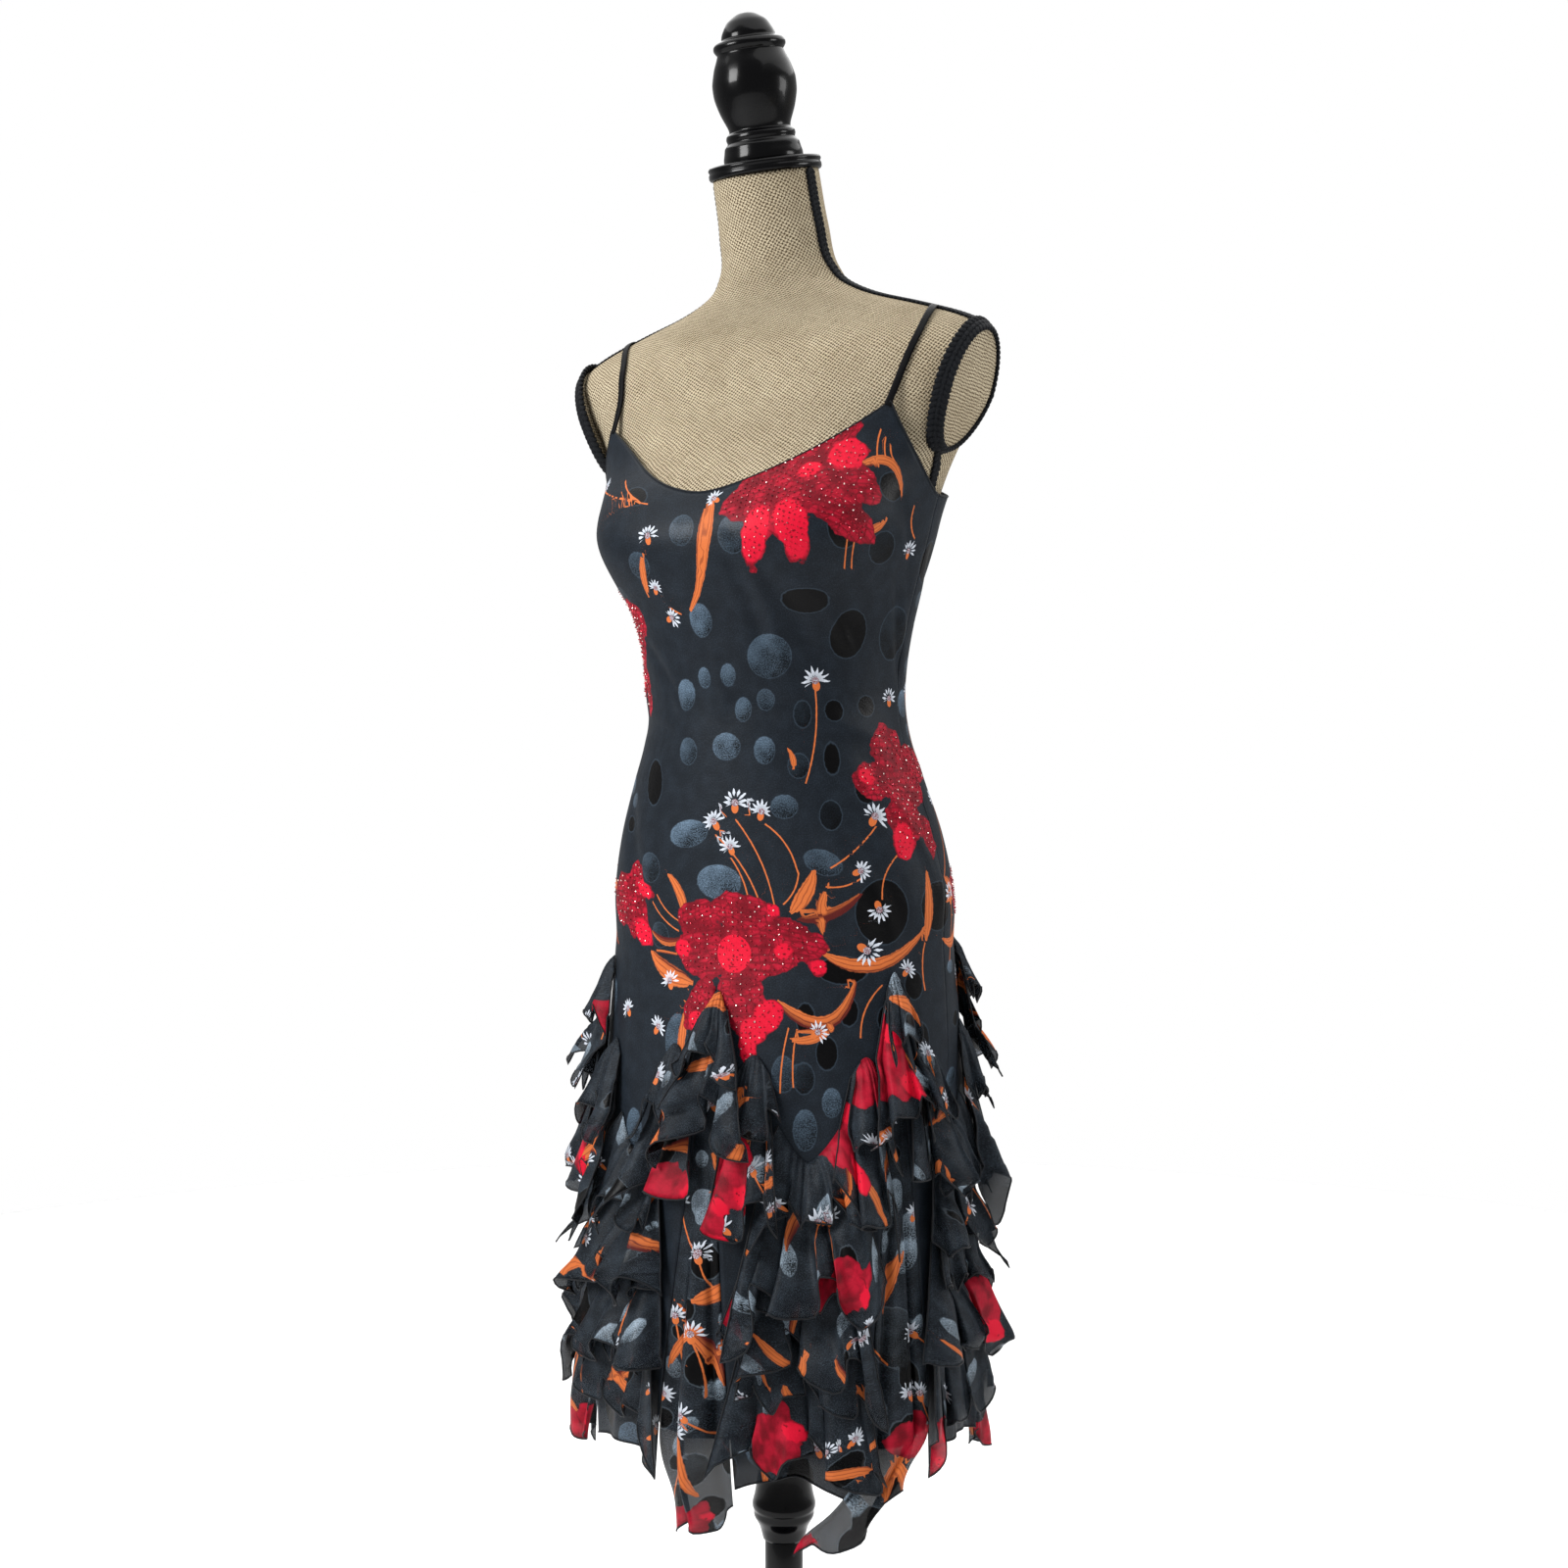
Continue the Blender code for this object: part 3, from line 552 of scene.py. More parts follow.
class PrintField:
    """Works out, at each point of a cloth, where it lies in the marks nearest to it."""

    def __init__(self, points: Array, marks: list[Mark]) -> None:
        """Reads the marks at the points.

        Args:
            points: the cloth's points, in space or in its flat plane.
            marks: the marks placed on it.
        """
        if points.shape[1] == 2:
            points = np.concatenate([points, np.zeros((len(points), 1))], axis=1)
        self.points = points
        self.oval = self.filled(CLEAR, 0.0, 0.0)
        self.bloom = self.filled(CLEAR, CLEAR, 0.0)
        self.leaf = self.filled(-3.0, FAR, 0.0)
        self.stem = self.filled(FAR, FAR, 0.0)
        self.daisy = self.filled(FAR, FAR, 0.0)
        self.lobe = self.filled(CLEAR, 0.0, 0.0)
        adders = {Motif.OVAL: self.add_oval, Motif.BLOOM: self.add_bloom, Motif.DAISY: self.add_daisy}
        stems = 0
        for mark in marks:
            stems += mark.kind is Motif.STEM
            if mark.kind in adders:
                adders[mark.kind](mark)
            else:
                self.add_line(mark, stems % 2)

    def filled(self, *values: float) -> Array:
        """The same values at every point."""
        return np.full((len(self.points), len(values)), values)

    def plane(self, mark: Mark, reach: float) -> tuple[Array, Array, Array]:
        """The points near a mark.

        Args:
            mark: the mark.
            reach: how near.

        Returns:
            Their numbers, and their places to the right and up in the mark's plane in millimetres.
        """
        away = self.points - mark.centre
        near = np.flatnonzero((away * away).sum(axis=1) < reach * reach)
        away = away[near] * 1000
        return near, away @ mark.right, away @ mark.up

    def add_oval(self, mark: Mark) -> None:
        """Writes the distance outside an oval's edge in millimetres, its tone, and a slope across it that
        drives a painted sheen, lighter towards the oval's upper left.

        Args:
            mark: the oval.
        """
        near, x, y = self.plane(mark, max(mark.sizes) + OVAL_REACH)
        wide, tall = mark.sizes[0] * 1000, mark.sizes[1] * 1000
        edge = (np.hypot(x / wide, y / tall) - 1) * min(wide, tall)
        # The slope rises from the lower right to the upper left of the oval; the finish turns it into a
        # painted sheen on the satin ovals.
        slope = np.clip(y / tall - 0.6 * x / wide, -1.5, 1.5)
        better = edge < self.oval[near, 0]
        values = np.stack([edge, np.full_like(edge, mark.tone), slope], axis=1)
        self.oval[near[better]] = values[better]

    def add_bloom(self, mark: Mark) -> None:
        """Writes the distance outside a bloom's lobes and its disc, and which lobes are bright.

        Args:
            mark: the bloom.
        """
        near, x, y = self.plane(mark, BLOOM_REACH)
        edge, bright, second, core = (np.full(len(near), CLEAR) for _ in range(4))
        fan = np.zeros(len(near))
        for lobe in mark.lobes:
            turn = radians(lobe.turn)
            dx, dy = x - lobe.x, y - lobe.y
            aside = (dy * cos(turn) - dx * sin(turn)) / lobe.short_half
            size = np.hypot((dx * cos(turn) + dy * sin(turn)) / lobe.long_half, aside)
            here = (size - 1) * min(lobe.long_half, lobe.short_half)
            fan = np.where(here < edge, aside, fan)
            second = np.minimum(second, np.maximum(edge, here))
            edge = np.minimum(edge, here)
            if lobe.bright:
                bright = np.minimum(bright, here)
        if mark.disc:
            core = np.hypot(x, y) - mark.disc
        better = edge < self.bloom[near, 0]
        rows = near[better]
        self.bloom[rows] = np.stack([edge, core, np.clip(-bright / 6, 0, 1)], axis=1)[better]
        self.lobe[rows, :2] = np.stack([second - edge, fan], axis=1)[better]

    def add_daisy(self, mark: Mark) -> None:
        """Writes the place in a daisy, in its own radius.

        Args:
            mark: the daisy.
        """
        radius = mark.sizes[0]
        near, x, y = self.plane(mark, radius * DAISY_REACH)
        place = np.stack([x, y], axis=1) / radius / 1000
        size = np.hypot(*place.T)
        better = size < np.hypot(self.daisy[near, 0], self.daisy[near, 1])
        grow = np.where(size < PETAL_EDGE, 1, 1 + (size - PETAL_EDGE) * STEEP)
        self.daisy[near[better], :2] = (place * grow[:, None])[better]

    def add_line(self, mark: Mark, lane: int) -> None:
        """Writes the place along and across a leaf or stem.

        Args:
            mark: the leaf or stem.
            lane: which of the two stem values it goes to.
        """
        path = mark.path
        middle = path.mean(axis=0)
        reach = float(np.hypot(*(path - middle).T).max()) + LINE_REACH
        away = self.points - (mark.centre + (mark.right * middle[0] + mark.up * middle[1]) / 1000)
        near = np.flatnonzero((away * away).sum(axis=1) < (reach / 1000) ** 2)
        away = (self.points[near] - mark.centre) * 1000
        along, aside, whole = along_path(np.stack([away @ mark.right, away @ mark.up], axis=1), path)
        if mark.kind is Motif.STEM:
            past = np.maximum(np.maximum(-along, along - 1), 0) * whole
            aside = np.where(past > 1.0, np.sign(aside) * (np.abs(aside) + past * CLEAR), aside)
            value = stretched(aside, 5.0)
            better = np.abs(value) < np.abs(self.stem[near, lane])
            self.stem[near[better], lane] = value[better]
            return
        half = mark.sizes[0] * 1000 * np.sin(np.pi * np.clip(along, 0.02, 0.98) ** 0.75) ** 0.8
        across = stretched(aside / np.maximum(half, 0.35), 3.0)
        before = self.off_leaf(self.leaf[near, 0], self.leaf[near, 1])
        better = self.off_leaf(along, across) < before
        values = np.stack([along, across, np.full_like(along, mark.tone)], axis=1)
        self.leaf[near[better]] = values[better]

    @staticmethod
    def off_leaf(along: Array, across: Array) -> Array:
        """How far places are from a leaf's middle line, counted as far when past its ends."""
        return np.abs(across) + CLEAR * (np.abs(along - 0.5) > 0.5)

    def attributes(self) -> dict[str, Array]:
        """The values by attribute name."""
        names = ("oval", "bloom", "leaf", "stem", "daisy", "lobe")
        return {f"print_{name}": getattr(self, name) for name in names}


def along_path(spots: Array, path: Array) -> tuple[Array, Array, float]:
    """Where points lie along and beside a line, which runs straight on past its ends.

    Args:
        spots: the points, in the line's plane in millimetres.
        path: the line's points.

    Returns:
        The share of the way along, the signed distance aside, and the line's length.
    """
    best = np.full(len(spots), 1e9)
    along, aside = np.zeros(len(spots)), np.zeros(len(spots))
    steps = np.diff(path, axis=0)
    lengths = np.hypot(*steps.T)
    starts = np.concatenate([[0], np.cumsum(lengths)])
    past = 30.0
    for i, (step, length) in enumerate(zip(steps, lengths)):
        way = step / length
        offset = spots - path[i]
        reach = offset @ way
        held = np.clip(reach, 0.0 if i else -past, length if i < len(steps) - 1 else length + past)
        side = offset[:, 0] * way[1] - offset[:, 1] * way[0]
        gap = np.hypot(reach - held, side)
        better = gap < best
        best = np.where(better, gap, best)
        along = np.where(better, (starts[i] + held) / starts[-1], along)
        aside = np.where(better, np.where(side < 0, -gap, gap), aside)
    return along, aside, starts[-1]


def bent_path(length: float, bend: float, count: int = 9) -> Array:
    """Points up the mark's plane in millimetres, bottom first, on a line whose middle bows to the right."""
    share = np.linspace(0, 1, count)
    return np.stack([4 * bend * share * (1 - share) * 1000, length * share * 1000], axis=1)


def linked(name: str, data: bpy.types.ID) -> Object:
    """A new object in the scene.

    Args:
        name: its name.
        data: its mesh, light or camera.

    Returns:
        The object.
    """
    item = bpy.data.objects.new(name, data)
    bpy.context.scene.collection.objects.link(item)
    return item


def lay_flat(mesh: bpy.types.Mesh, flats: Array) -> None:
    """Gives a mesh its UV map.

    Args:
        mesh: the mesh.
        flats: the cloth's flat place at each point, in metres.
    """
    layer = mesh.uv_layers.new(name="UVMap")
    corners = np.empty(len(mesh.loops), np.int32)
    mesh.loops.foreach_get("vertex_index", corners)
    layer.data.foreach_set("uv", np.asarray(flats, np.float32).reshape(-1, 2)[corners].ravel())


def mesh_piece(
    name: str,
    points: Array,
    faces: Array | list,
    material: Material,
    flats: Array | None = None,
    attributes: dict[str, Array] | None = None,
) -> Object:
    """A smooth mesh object from points and faces.

    Args:
        name: the piece's name.
        points: its points.
        faces: its faces, as rows of point numbers.
        material: its finish.
        flats: the cloth's flat coordinates at the points, in metres, for its UV map.
        attributes: point values for the finish to read.

    Returns:
        The object, linked to the scene.
    """
    mesh = bpy.data.meshes.new(name)
    mesh.from_pydata(np.asarray(points).reshape(-1, 3).tolist(), [], [list(face) for face in faces])
    mesh.materials.append(material)
    mesh.shade_smooth()
    if flats is not None:
        lay_flat(mesh, flats)
    for key, values in (attributes or {}).items():
        layer = mesh.attributes.new(key, "FLOAT_VECTOR", "POINT")
        layer.data.foreach_set("vector", np.asarray(values, np.float32).ravel())
    return linked(name, mesh)


def grid_faces(rows: int, columns: int, closed: bool = False) -> Array:
    """Quads of a grid whose points run row by row, downwards and towards the form's left.

    Args:
        rows: cells down.
        columns: cells across.
        closed: whether the last column joins the first.

    Returns:
        Four point numbers for each cell.
    """
    width = columns if closed else columns + 1
    row, column = np.meshgrid(np.arange(rows), np.arange(columns), indexing="ij")
    right = (column + 1) % width
    quads = [row * width + column, (row + 1) * width + column]
    quads += [(row + 1) * width + right, row * width + right]
    return np.stack(quads, axis=-1).reshape(-1, 4)


def thicken(item: Object, wall: float) -> None:
    """Gives an open cloth surface its wall, inwards from its outer face.

    Args:
        item: the surface.
        wall: how thick.
    """
    modifier = item.modifiers.new("wall", "SOLIDIFY")
    modifier.thickness = wall
    modifier.offset = -1.0


LEAST_FILL = 0.33
SLACK = 1.1


def cut_size(grid: Array) -> tuple[tuple[float, float], float]:
    """The size a cloth was cut to, measured along its rows and columns.

    Args:
        grid: its points, by row and column.

    Returns:
        Its greatest width and length, and its area.
    """
    length = float(np.median(run_of(grid, 0).sum(axis=0)) * SLACK)
    area = quad_area(grid[:-1, :-1], grid[:-1, 1:], grid[1:, 1:], grid[1:, :-1])
    width = max(float(run_of(grid, 1).sum(axis=1).max()), area / length)
    width = min(width, area / length / LEAST_FILL)
    return (width, length), min(area, width * length)


def quad_area(*corners: Array) -> float:
    """The area of quads whose corners are four arrays of points."""
    crossed = np.cross(corners[2] - corners[0], corners[3] - corners[1])
    return float(np.linalg.norm(crossed, axis=-1).sum() / 2)


@dataclass(frozen=True)
class Value:
    """A node's output that can be reckoned with: each operation adds a Math node."""

    graph: "Graph"
    socket: NodeSocket

    def __add__(self, other: object) -> "Value":
        """The sum."""
        return self.graph.math("ADD", self, other)

    def __sub__(self, other: object) -> "Value":
        """The difference."""
        return self.graph.math("SUBTRACT", self, other)

    def __rsub__(self, other: float) -> "Value":
        """A number less this."""
        return self.graph.math("SUBTRACT", other, self)

    def __mul__(self, other: object) -> "Value":
        """The product."""
        return self.graph.math("MULTIPLY", self, other)

    def __truediv__(self, other: object) -> "Value":
        """The quotient."""
        return self.graph.math("DIVIDE", self, other)

    def __abs__(self) -> "Value":
        """The size without its sign."""
        return self.graph.math("ABSOLUTE", self)

    def __lt__(self, other: object) -> "Value":
        """1 where this is less, else 0."""
        return self.graph.math("LESS_THAN", self, other)

    def __gt__(self, other: object) -> "Value":
        """1 where this is more, else 0."""
        return self.graph.math("GREATER_THAN", self, other)

    def sine(self) -> "Value":
        """The sine."""
        return self.graph.math("SINE", self)

    def larger(self, *others: "Value") -> "Value":
        """The largest of this and others.

        Args:
            others: the others.

        Returns:
            The largest.
        """
        found = self
        for other in others:
            found = self.graph.math("MAXIMUM", found, other)
        return found

    def clamped(self) -> "Value":
        """Held between 0 and 1."""
        return self.graph.math("ADD", self, 0.0, clamp=True)

    def ramp(self, low: float, high: float, out: tuple[float, float] = (0.0, 1.0)) -> "Value":
        """Mapped smoothly from low..high to the output range."""
        sizes = dict(enumerate((self, low, high, *out)))
        return self.graph.out("ShaderNodeMapRange", sizes, interpolation_type="SMOOTHSTEP")


Inputs = dict[str | int, object]


class Graph:
    """Places nodes in a tree, with short calls for the common ones."""

    def __init__(self, tree: NodeTree) -> None:
        """Keeps the tree."""
        self.tree = tree

    def feed(self, node: Node, inputs: Inputs) -> None:
        """Links or sets a node's inputs.

        Args:
            node: the node.
            inputs: a value or a constant by the input's name or number.
        """
        for key, value in inputs.items():
            if isinstance(value, Value):
                self.tree.links.new(value.socket, node.inputs[key])
            else:
                node.inputs[key].default_value = value

    def node(self, kind: str, inputs: Inputs | None = None, **settings: object) -> Node:
        """A new node.

        Args:
            kind: its type.
            inputs: what feeds it.
            settings: its own settings by name.

        Returns:
            The node.
        """
        made = self.tree.nodes.new(kind)
        for key, value in settings.items():
            setattr(made, key, value)
        self.feed(made, inputs or {})
        return made

    def out(
        self, kind: str, inputs: Inputs | None = None, output: str | int = 0, **settings: object
    ) -> Value:
        """One output of a new node."""
        return Value(self, self.node(kind, inputs, **settings).outputs[output])

    def outs(self, node: Node) -> dict[str, Value]:
        """A node's outputs by name."""
        return {socket.name: Value(self, socket) for socket in node.outputs}

    def group(self, tree: NodeTree, inputs: Inputs) -> dict[str, Value]:
        """The outputs, by name, of a shader node group."""
        return self.outs(self.node("ShaderNodeGroup", inputs, node_tree=tree))

    def math(self, operation: str, *values: object, clamp: bool = False) -> Value:
        """The result of a math node."""
        return self.out("ShaderNodeMath", dict(enumerate(values)), operation=operation, use_clamp=clamp)

    def mix(self, share: object, low: object, high: object) -> Value:
        """A colour between two, by a share."""
        return self.out("ShaderNodeMix", {0: share, 6: low, 7: high}, 2, data_type="RGBA")

    def noise(self, place: Value, scale: float, detail: float = 2.0, rough: float = 0.5) -> Value:
        """A noise value."""
        sizes = {"Vector": place, "Scale": scale, "Detail": detail, "Roughness": rough}
        return self.out("ShaderNodeTexNoise", sizes, "Fac")

    def scaled(self, place: Value, scale: tuple[float, float, float]) -> Value:
        """A place stretched along its axes."""
        return self.out("ShaderNodeMapping", {"Vector": place, "Scale": scale})

    def cells(self, place: Value, scale: float, feature: str = "F1") -> Value:
        """The distance from a cell's middle, or from its edge."""
        sizes = {"Vector": place, "Scale": scale}
        return self.out("ShaderNodeTexVoronoi", sizes, "Distance", feature=feature)

    def parts(self, vector: Value) -> tuple[Value, ...]:
        """A vector's three values."""
        return tuple(self.outs(self.node("ShaderNodeSeparateXYZ", {0: vector})).values())

    def attribute(self, name: str) -> tuple[Value, ...]:
        """The three values of a point attribute."""
        return self.parts(self.out("ShaderNodeAttribute", None, "Vector", attribute_name=name))

    def flat_place(self) -> Value:
        """The place in the cloth's flat plane."""
        return self.out("ShaderNodeUVMap", uv_map="UVMap")

    def object_place(self) -> Value:
        """The place in the object's own space."""
        return self.out("ShaderNodeTexCoord", None, "Object")

    def bump(self, height: Value, strength: float, depth: float) -> Value:
        """The normal that a height gives."""
        return self.out("ShaderNodeBump", {"Strength": strength, "Distance": depth, "Height": height})


COLOUR = "NodeSocketColor"
NUMBER = "NodeSocketFloat"
VECTOR = "NodeSocketVector"
GEOMETRY = "NodeSocketGeometry"


def new_group(
    name: str, inputs: dict[str, object], outputs: dict[str, str], kind: str = "ShaderNodeTree"
) -> tuple[Graph, dict[str, Value], Node]:
    """A node group with named sockets.

    Args:
        name: the group's name.
        inputs: a number, a colour or a socket type by name.
        outputs: socket type by name.
        kind: the type of tree.

    Returns:
        Its graph, what comes in by name, and its output node.
    """
    tree = bpy.data.node_groups.new(name, kind)
    for key, value in inputs.items():
        if isinstance(value, str):
            tree.interface.new_socket(key, in_out="INPUT", socket_type=value)
            continue
        socket_type = COLOUR if isinstance(value, tuple) else NUMBER
        tree.interface.new_socket(key, in_out="INPUT", socket_type=socket_type).default_value = value
    for key, socket_type in outputs.items():
        tree.interface.new_socket(key, in_out="OUTPUT", socket_type=socket_type)
    graph = Graph(tree)
    return graph, graph.outs(graph.node("NodeGroupInput")), graph.node("NodeGroupOutput")


def srgb(*screen: int) -> tuple[float, float, float, float]:
    """A colour from its screen values, 0 to 255.

    Args:
        screen: red, green and blue.

    Returns:
        The colour as the shaders take it, with its alpha.
    """
    parts = [value / 255 for value in screen]
    linear = [part / 12.92 if part <= 0.04045 else ((part + 0.055) / 1.055) ** 2.4 for part in parts]
    return (*linear, 1.0)


class Effects:
    """The effects that more than one finish uses, each built once as a node group."""

    def __init__(self) -> None:
        """Builds the groups."""
        self.weave = self.build_weave()
        self.devore = self.build_devore()

    def build_weave(self) -> NodeTree:
        """A plain weave, read in the cloth's flat place.

        Returns:
            The group, which gives the threads' lightness and height, and how deep it is between them.
        """
        graph, start, end = new_group(
            "PlainWeave", {"Place": VECTOR, "Pitch": 0.002, "Slub": 0.9}, {"Gap": NUMBER, "Tone": NUMBER}
        )
        place = start["Place"]
        wobble = graph.noise(place, 60.0, 3.0) * 1.5
        across, along = [((side / start["Pitch"] + wobble) * pi).sine() for side in graph.parts(place)[:2]]
        over = graph.math("SIGN", across * along) * 0.5 + 0.5
        across, along = abs(across), abs(along)
        height = (across * over).larger(along * (1.0 - over))
        streak = graph.noise(graph.scaled(place, (40.0, 900.0, 1.0)), 1.0)
        streak = streak + graph.noise(graph.scaled(place, (900.0, 40.0, 1.0)), 1.0) - 1.0
        gap = across.larger(along).ramp(0.86, 0.50)
        graph.feed(end, {"Gap": gap, "Tone": streak * start["Slub"] + height})
        return graph.tree

    def build_devore(self) -> NodeTree:
        """The printed and burnt-out cloth, read from its flat place and the print's attributes.

        Returns:
            The group, which gives the colour, and where the cloth is satin, solid, or sheer at its hem.
        """
        inks = {
            "Ground": srgb(15, 20, 26),
            "Ground Light": srgb(30, 38, 46),
            "Satin": srgb(98, 119, 137),
            "Velvet": srgb(2, 2, 3),
            "Leaf": srgb(186, 98, 50),
            "Leaf Dark": srgb(78, 24, 22),
            "Petal": srgb(190, 196, 206),
            "Red": srgb(158, 16, 40),
            "Bright Red": srgb(196, 14, 44),
            "Dark Red": srgb(92, 6, 20),
            "Veins": 1.0,
        }
        outputs = {"Color": COLOUR, "Satin": NUMBER, "Solid": NUMBER, "Hem": NUMBER}
        graph, ink, end = new_group("DevorePrint", inks, outputs)
        flat = graph.flat_place()
        speck = graph.noise(flat, 900.0, 2.0, 0.7)
        fine = graph.noise(flat, 260.0, 1.0)
        coarse = graph.noise(flat, 70.0, 1.0)
        swell = coarse - 0.5
        grain = speck.ramp(0.35, 0.75)

        mottle = (swell * 0.8 + speck.ramp(0.40, 0.85)).clamped()
        colour = graph.mix(mottle, ink["Ground"], ink["Ground Light"])

        edge, tone, slope = graph.attribute("print_oval")
        edge = (fine - 0.5) * 1.2 + edge
        oval = edge.ramp(0.35, -0.35)
        # Painted sheen on the satin ovals: each is lighter towards its upper left along the slope, and the
        # listed tones also carry painted sheen.
        light = slope * 0.26 + 0.56 + swell * 0.9 + (grain - 0.5) * 0.8
        colour = graph.mix(oval, colour, graph.mix((light * tone).clamped(), ink["Velvet"], ink["Satin"]))
        ring = 1.0 - abs(edge).ramp(0.1, 0.8)
        colour = graph.mix(ring * 0.12, colour, ink["Satin"])

        first, second, _ = graph.attribute("print_stem")
        stem = (graph.math("MINIMUM", abs(first), abs(second)) + fine * 0.6).ramp(1.15, 0.7)
        colour = graph.mix(stem, colour, ink["Leaf"])

        along, across, dark = graph.attribute("print_leaf")
        leaf = (fine * 0.3 + abs(across)).ramp(1.15, 0.95) * (along > 0.0) * (along < 1.0)
        lines = (swell * 5.0 + across * 9.5 + along * 3.0).sine().ramp(0.40, 0.95)
        lines = (lines * 0.50 + (across * 0.4 + dark).ramp(0.35, 0.95)).clamped()
        colour = graph.mix(leaf, colour, graph.mix(lines, ink["Leaf"], ink["Leaf Dark"]))

        x, y, _ = graph.attribute("print_daisy")
        reach = graph.math("SQRT", x * x + y * y)
        turn = graph.math("ARCTAN2", x, y)
        bow = (reach - (swell * 0.9 + 0.60)) / 0.38
        petal = abs((fine * 1.2 + turn * 6.5).sine()) * reach * 0.154 < (1.0 - bow * bow) * 0.082
        petal = petal * (abs(turn) < 1.95)
        cup_x, cup_y = x / 0.26, (y + 0.36) / 0.36
        cup = cup_x * cup_x + cup_y * cup_y < 1.0
        colour = graph.mix(petal * reach.ramp(0.2, 0.8, (0.6, 1.0)), colour, ink["Petal"])
        colour = graph.mix(cup, colour, ink["Leaf"])
        colour = graph.mix(reach < 0.25, colour, graph.mix(grain, ink["Dark Red"], ink["Petal"]))

        edge, core, bright = graph.attribute("print_bloom")
        between, fan, hem = graph.attribute("print_lobe")
        ragged = (fine - 0.5) * 2.0 + swell * 9.0 + edge
        red = ragged.ramp(0.3, -0.3)
        veins = graph.cells(flat, 120.0, "DISTANCE_TO_EDGE").ramp(0.14, 0.02) * 0.75 * ink["Veins"]
        rays = (coarse * 5.0 + fan * 26.0).sine().ramp(0.1, 1.0, (0.0, 0.55)) * ink["Veins"]
        body = graph.mix(coarse.ramp(0.35, 0.7), ink["Red"], ink["Dark Red"])
        body = graph.mix(veins, body, ink["Dark Red"])
        body = graph.mix(grain * 0.18, body, ink["Bright Red"])
        body = graph.mix(rays, body, ink["Dark Red"])
        seeds = graph.cells(flat, 230.0).ramp(0.26, 0.16) * 0.8
        lit = bright.ramp(0.05, 0.3).larger(core.ramp(0.4, -0.4))
        body = graph.mix(lit, body, graph.mix(seeds, ink["Bright Red"], ink["Dark Red"]))
        parting = (fine * 0.8 + between).ramp(1.5, 0.6)
        body = graph.mix(parting * 0.85, body, ink["Dark Red"])
        body = graph.mix(abs(ragged).ramp(1.0, 0.3) * 0.5, body, ink["Dark Red"])
        colour = graph.mix(red, colour, body)

        cover = red.larger(leaf, petal, cup)
        solid = oval.larger(cover)
        graph.feed(end, {"Color": colour, "Hem": hem, "Satin": oval * (1.0 - cover), "Solid": solid})
        return graph.tree


def new_material(name: str) -> tuple[Material, Graph, Node]:
    """A material.

    Args:
        name: its name.

    Returns:
        The material, its graph and its Principled shader.
    """
    material = bpy.data.materials.new(name)
    material.use_nodes = True
    return material, Graph(material.node_tree), material.node_tree.nodes["Principled BSDF"]


@dataclass(frozen=True)
class PrintedFinish:
    """The printed silk or chiffon."""

    name: str
    ground: tuple
    ground_light: tuple
    satin: tuple
    roughness: float = 0.50
    satin_roughness: float = 0.38
    cover: float = 1.0
    sheer: float = 0.86
    solid: float = 0.88
    sheen: float = 0.015
    sheen_roughness: float = 0.40
    shine: float = 0.10
    veins: float = 1.0
    bump: float = 0.30
    bump_depth: float = 0.0012

    def build(self, effects: Effects) -> Material:
        """The finish as a material.

        Args:
            effects: the shared groups.

        Returns:
            The material.
        """
        material, graph, shader = new_material(self.name)
        inks = {"Ground": self.ground, "Ground Light": self.ground_light, "Satin": self.satin}
        inks["Veins"] = self.veins
        printed = graph.group(effects.devore, inks)
        flat = graph.flat_place()
        height = graph.noise(flat, 700.0, 1.0) * 0.5 + graph.noise(flat, 110.0, 2.0)
        see = printed["Hem"].ramp(0.0, 1.0, (self.cover, self.sheer))
        dress = {
            "Base Color": printed["Color"],
            "Roughness": printed["Satin"].ramp(0.0, 1.0, (self.roughness, self.satin_roughness)),
            "Sheen Weight": self.sheen,
            "Sheen Roughness": self.sheen_roughness,
            "Specular IOR Level": self.shine,
            "Alpha": see.larger(printed["Solid"] * self.solid),
            "Normal": graph.bump(height, self.bump, self.bump_depth),
        }
        graph.feed(shader, dress)
        return material


@dataclass(frozen=True)
class PlainClothFinish:
    """A plain woven cloth, coarse or fine."""

    name: str
    thread: tuple
    thread_light: tuple
    gap: tuple
    pitch: float
    gap_share: float = 0.4
    roughness: float = 0.6
    sheen: float = 0.0
    bump: float = 0.3
    bump_depth: float = 0.0003
    shine: float = 0.15

    def build(self, effects: Effects) -> Material:
        """The finish as a material.

        Args:
            effects: the shared groups.

        Returns:
            The material.
        """
        material, graph, shader = new_material(self.name)
        flat = graph.flat_place()
        weave = graph.group(effects.weave, {"Place": flat, "Pitch": self.pitch})
        colour = graph.mix(weave["Tone"].ramp(0.1, 1.15), self.thread, self.thread_light)
        cloud = graph.noise(flat, 14.0, 3.0).ramp(0.35, 0.75, (0.0, 0.25))
        colour = graph.mix(cloud, colour, self.thread)
        dress = {
            "Base Color": graph.mix(weave["Gap"] * self.gap_share, colour, self.gap),
            "Roughness": self.roughness,
            "Sheen Weight": self.sheen,
            "Specular IOR Level": self.shine,
            "Normal": graph.bump(weave["Tone"], self.bump, self.bump_depth),
        }
        graph.feed(shader, dress)
        return material


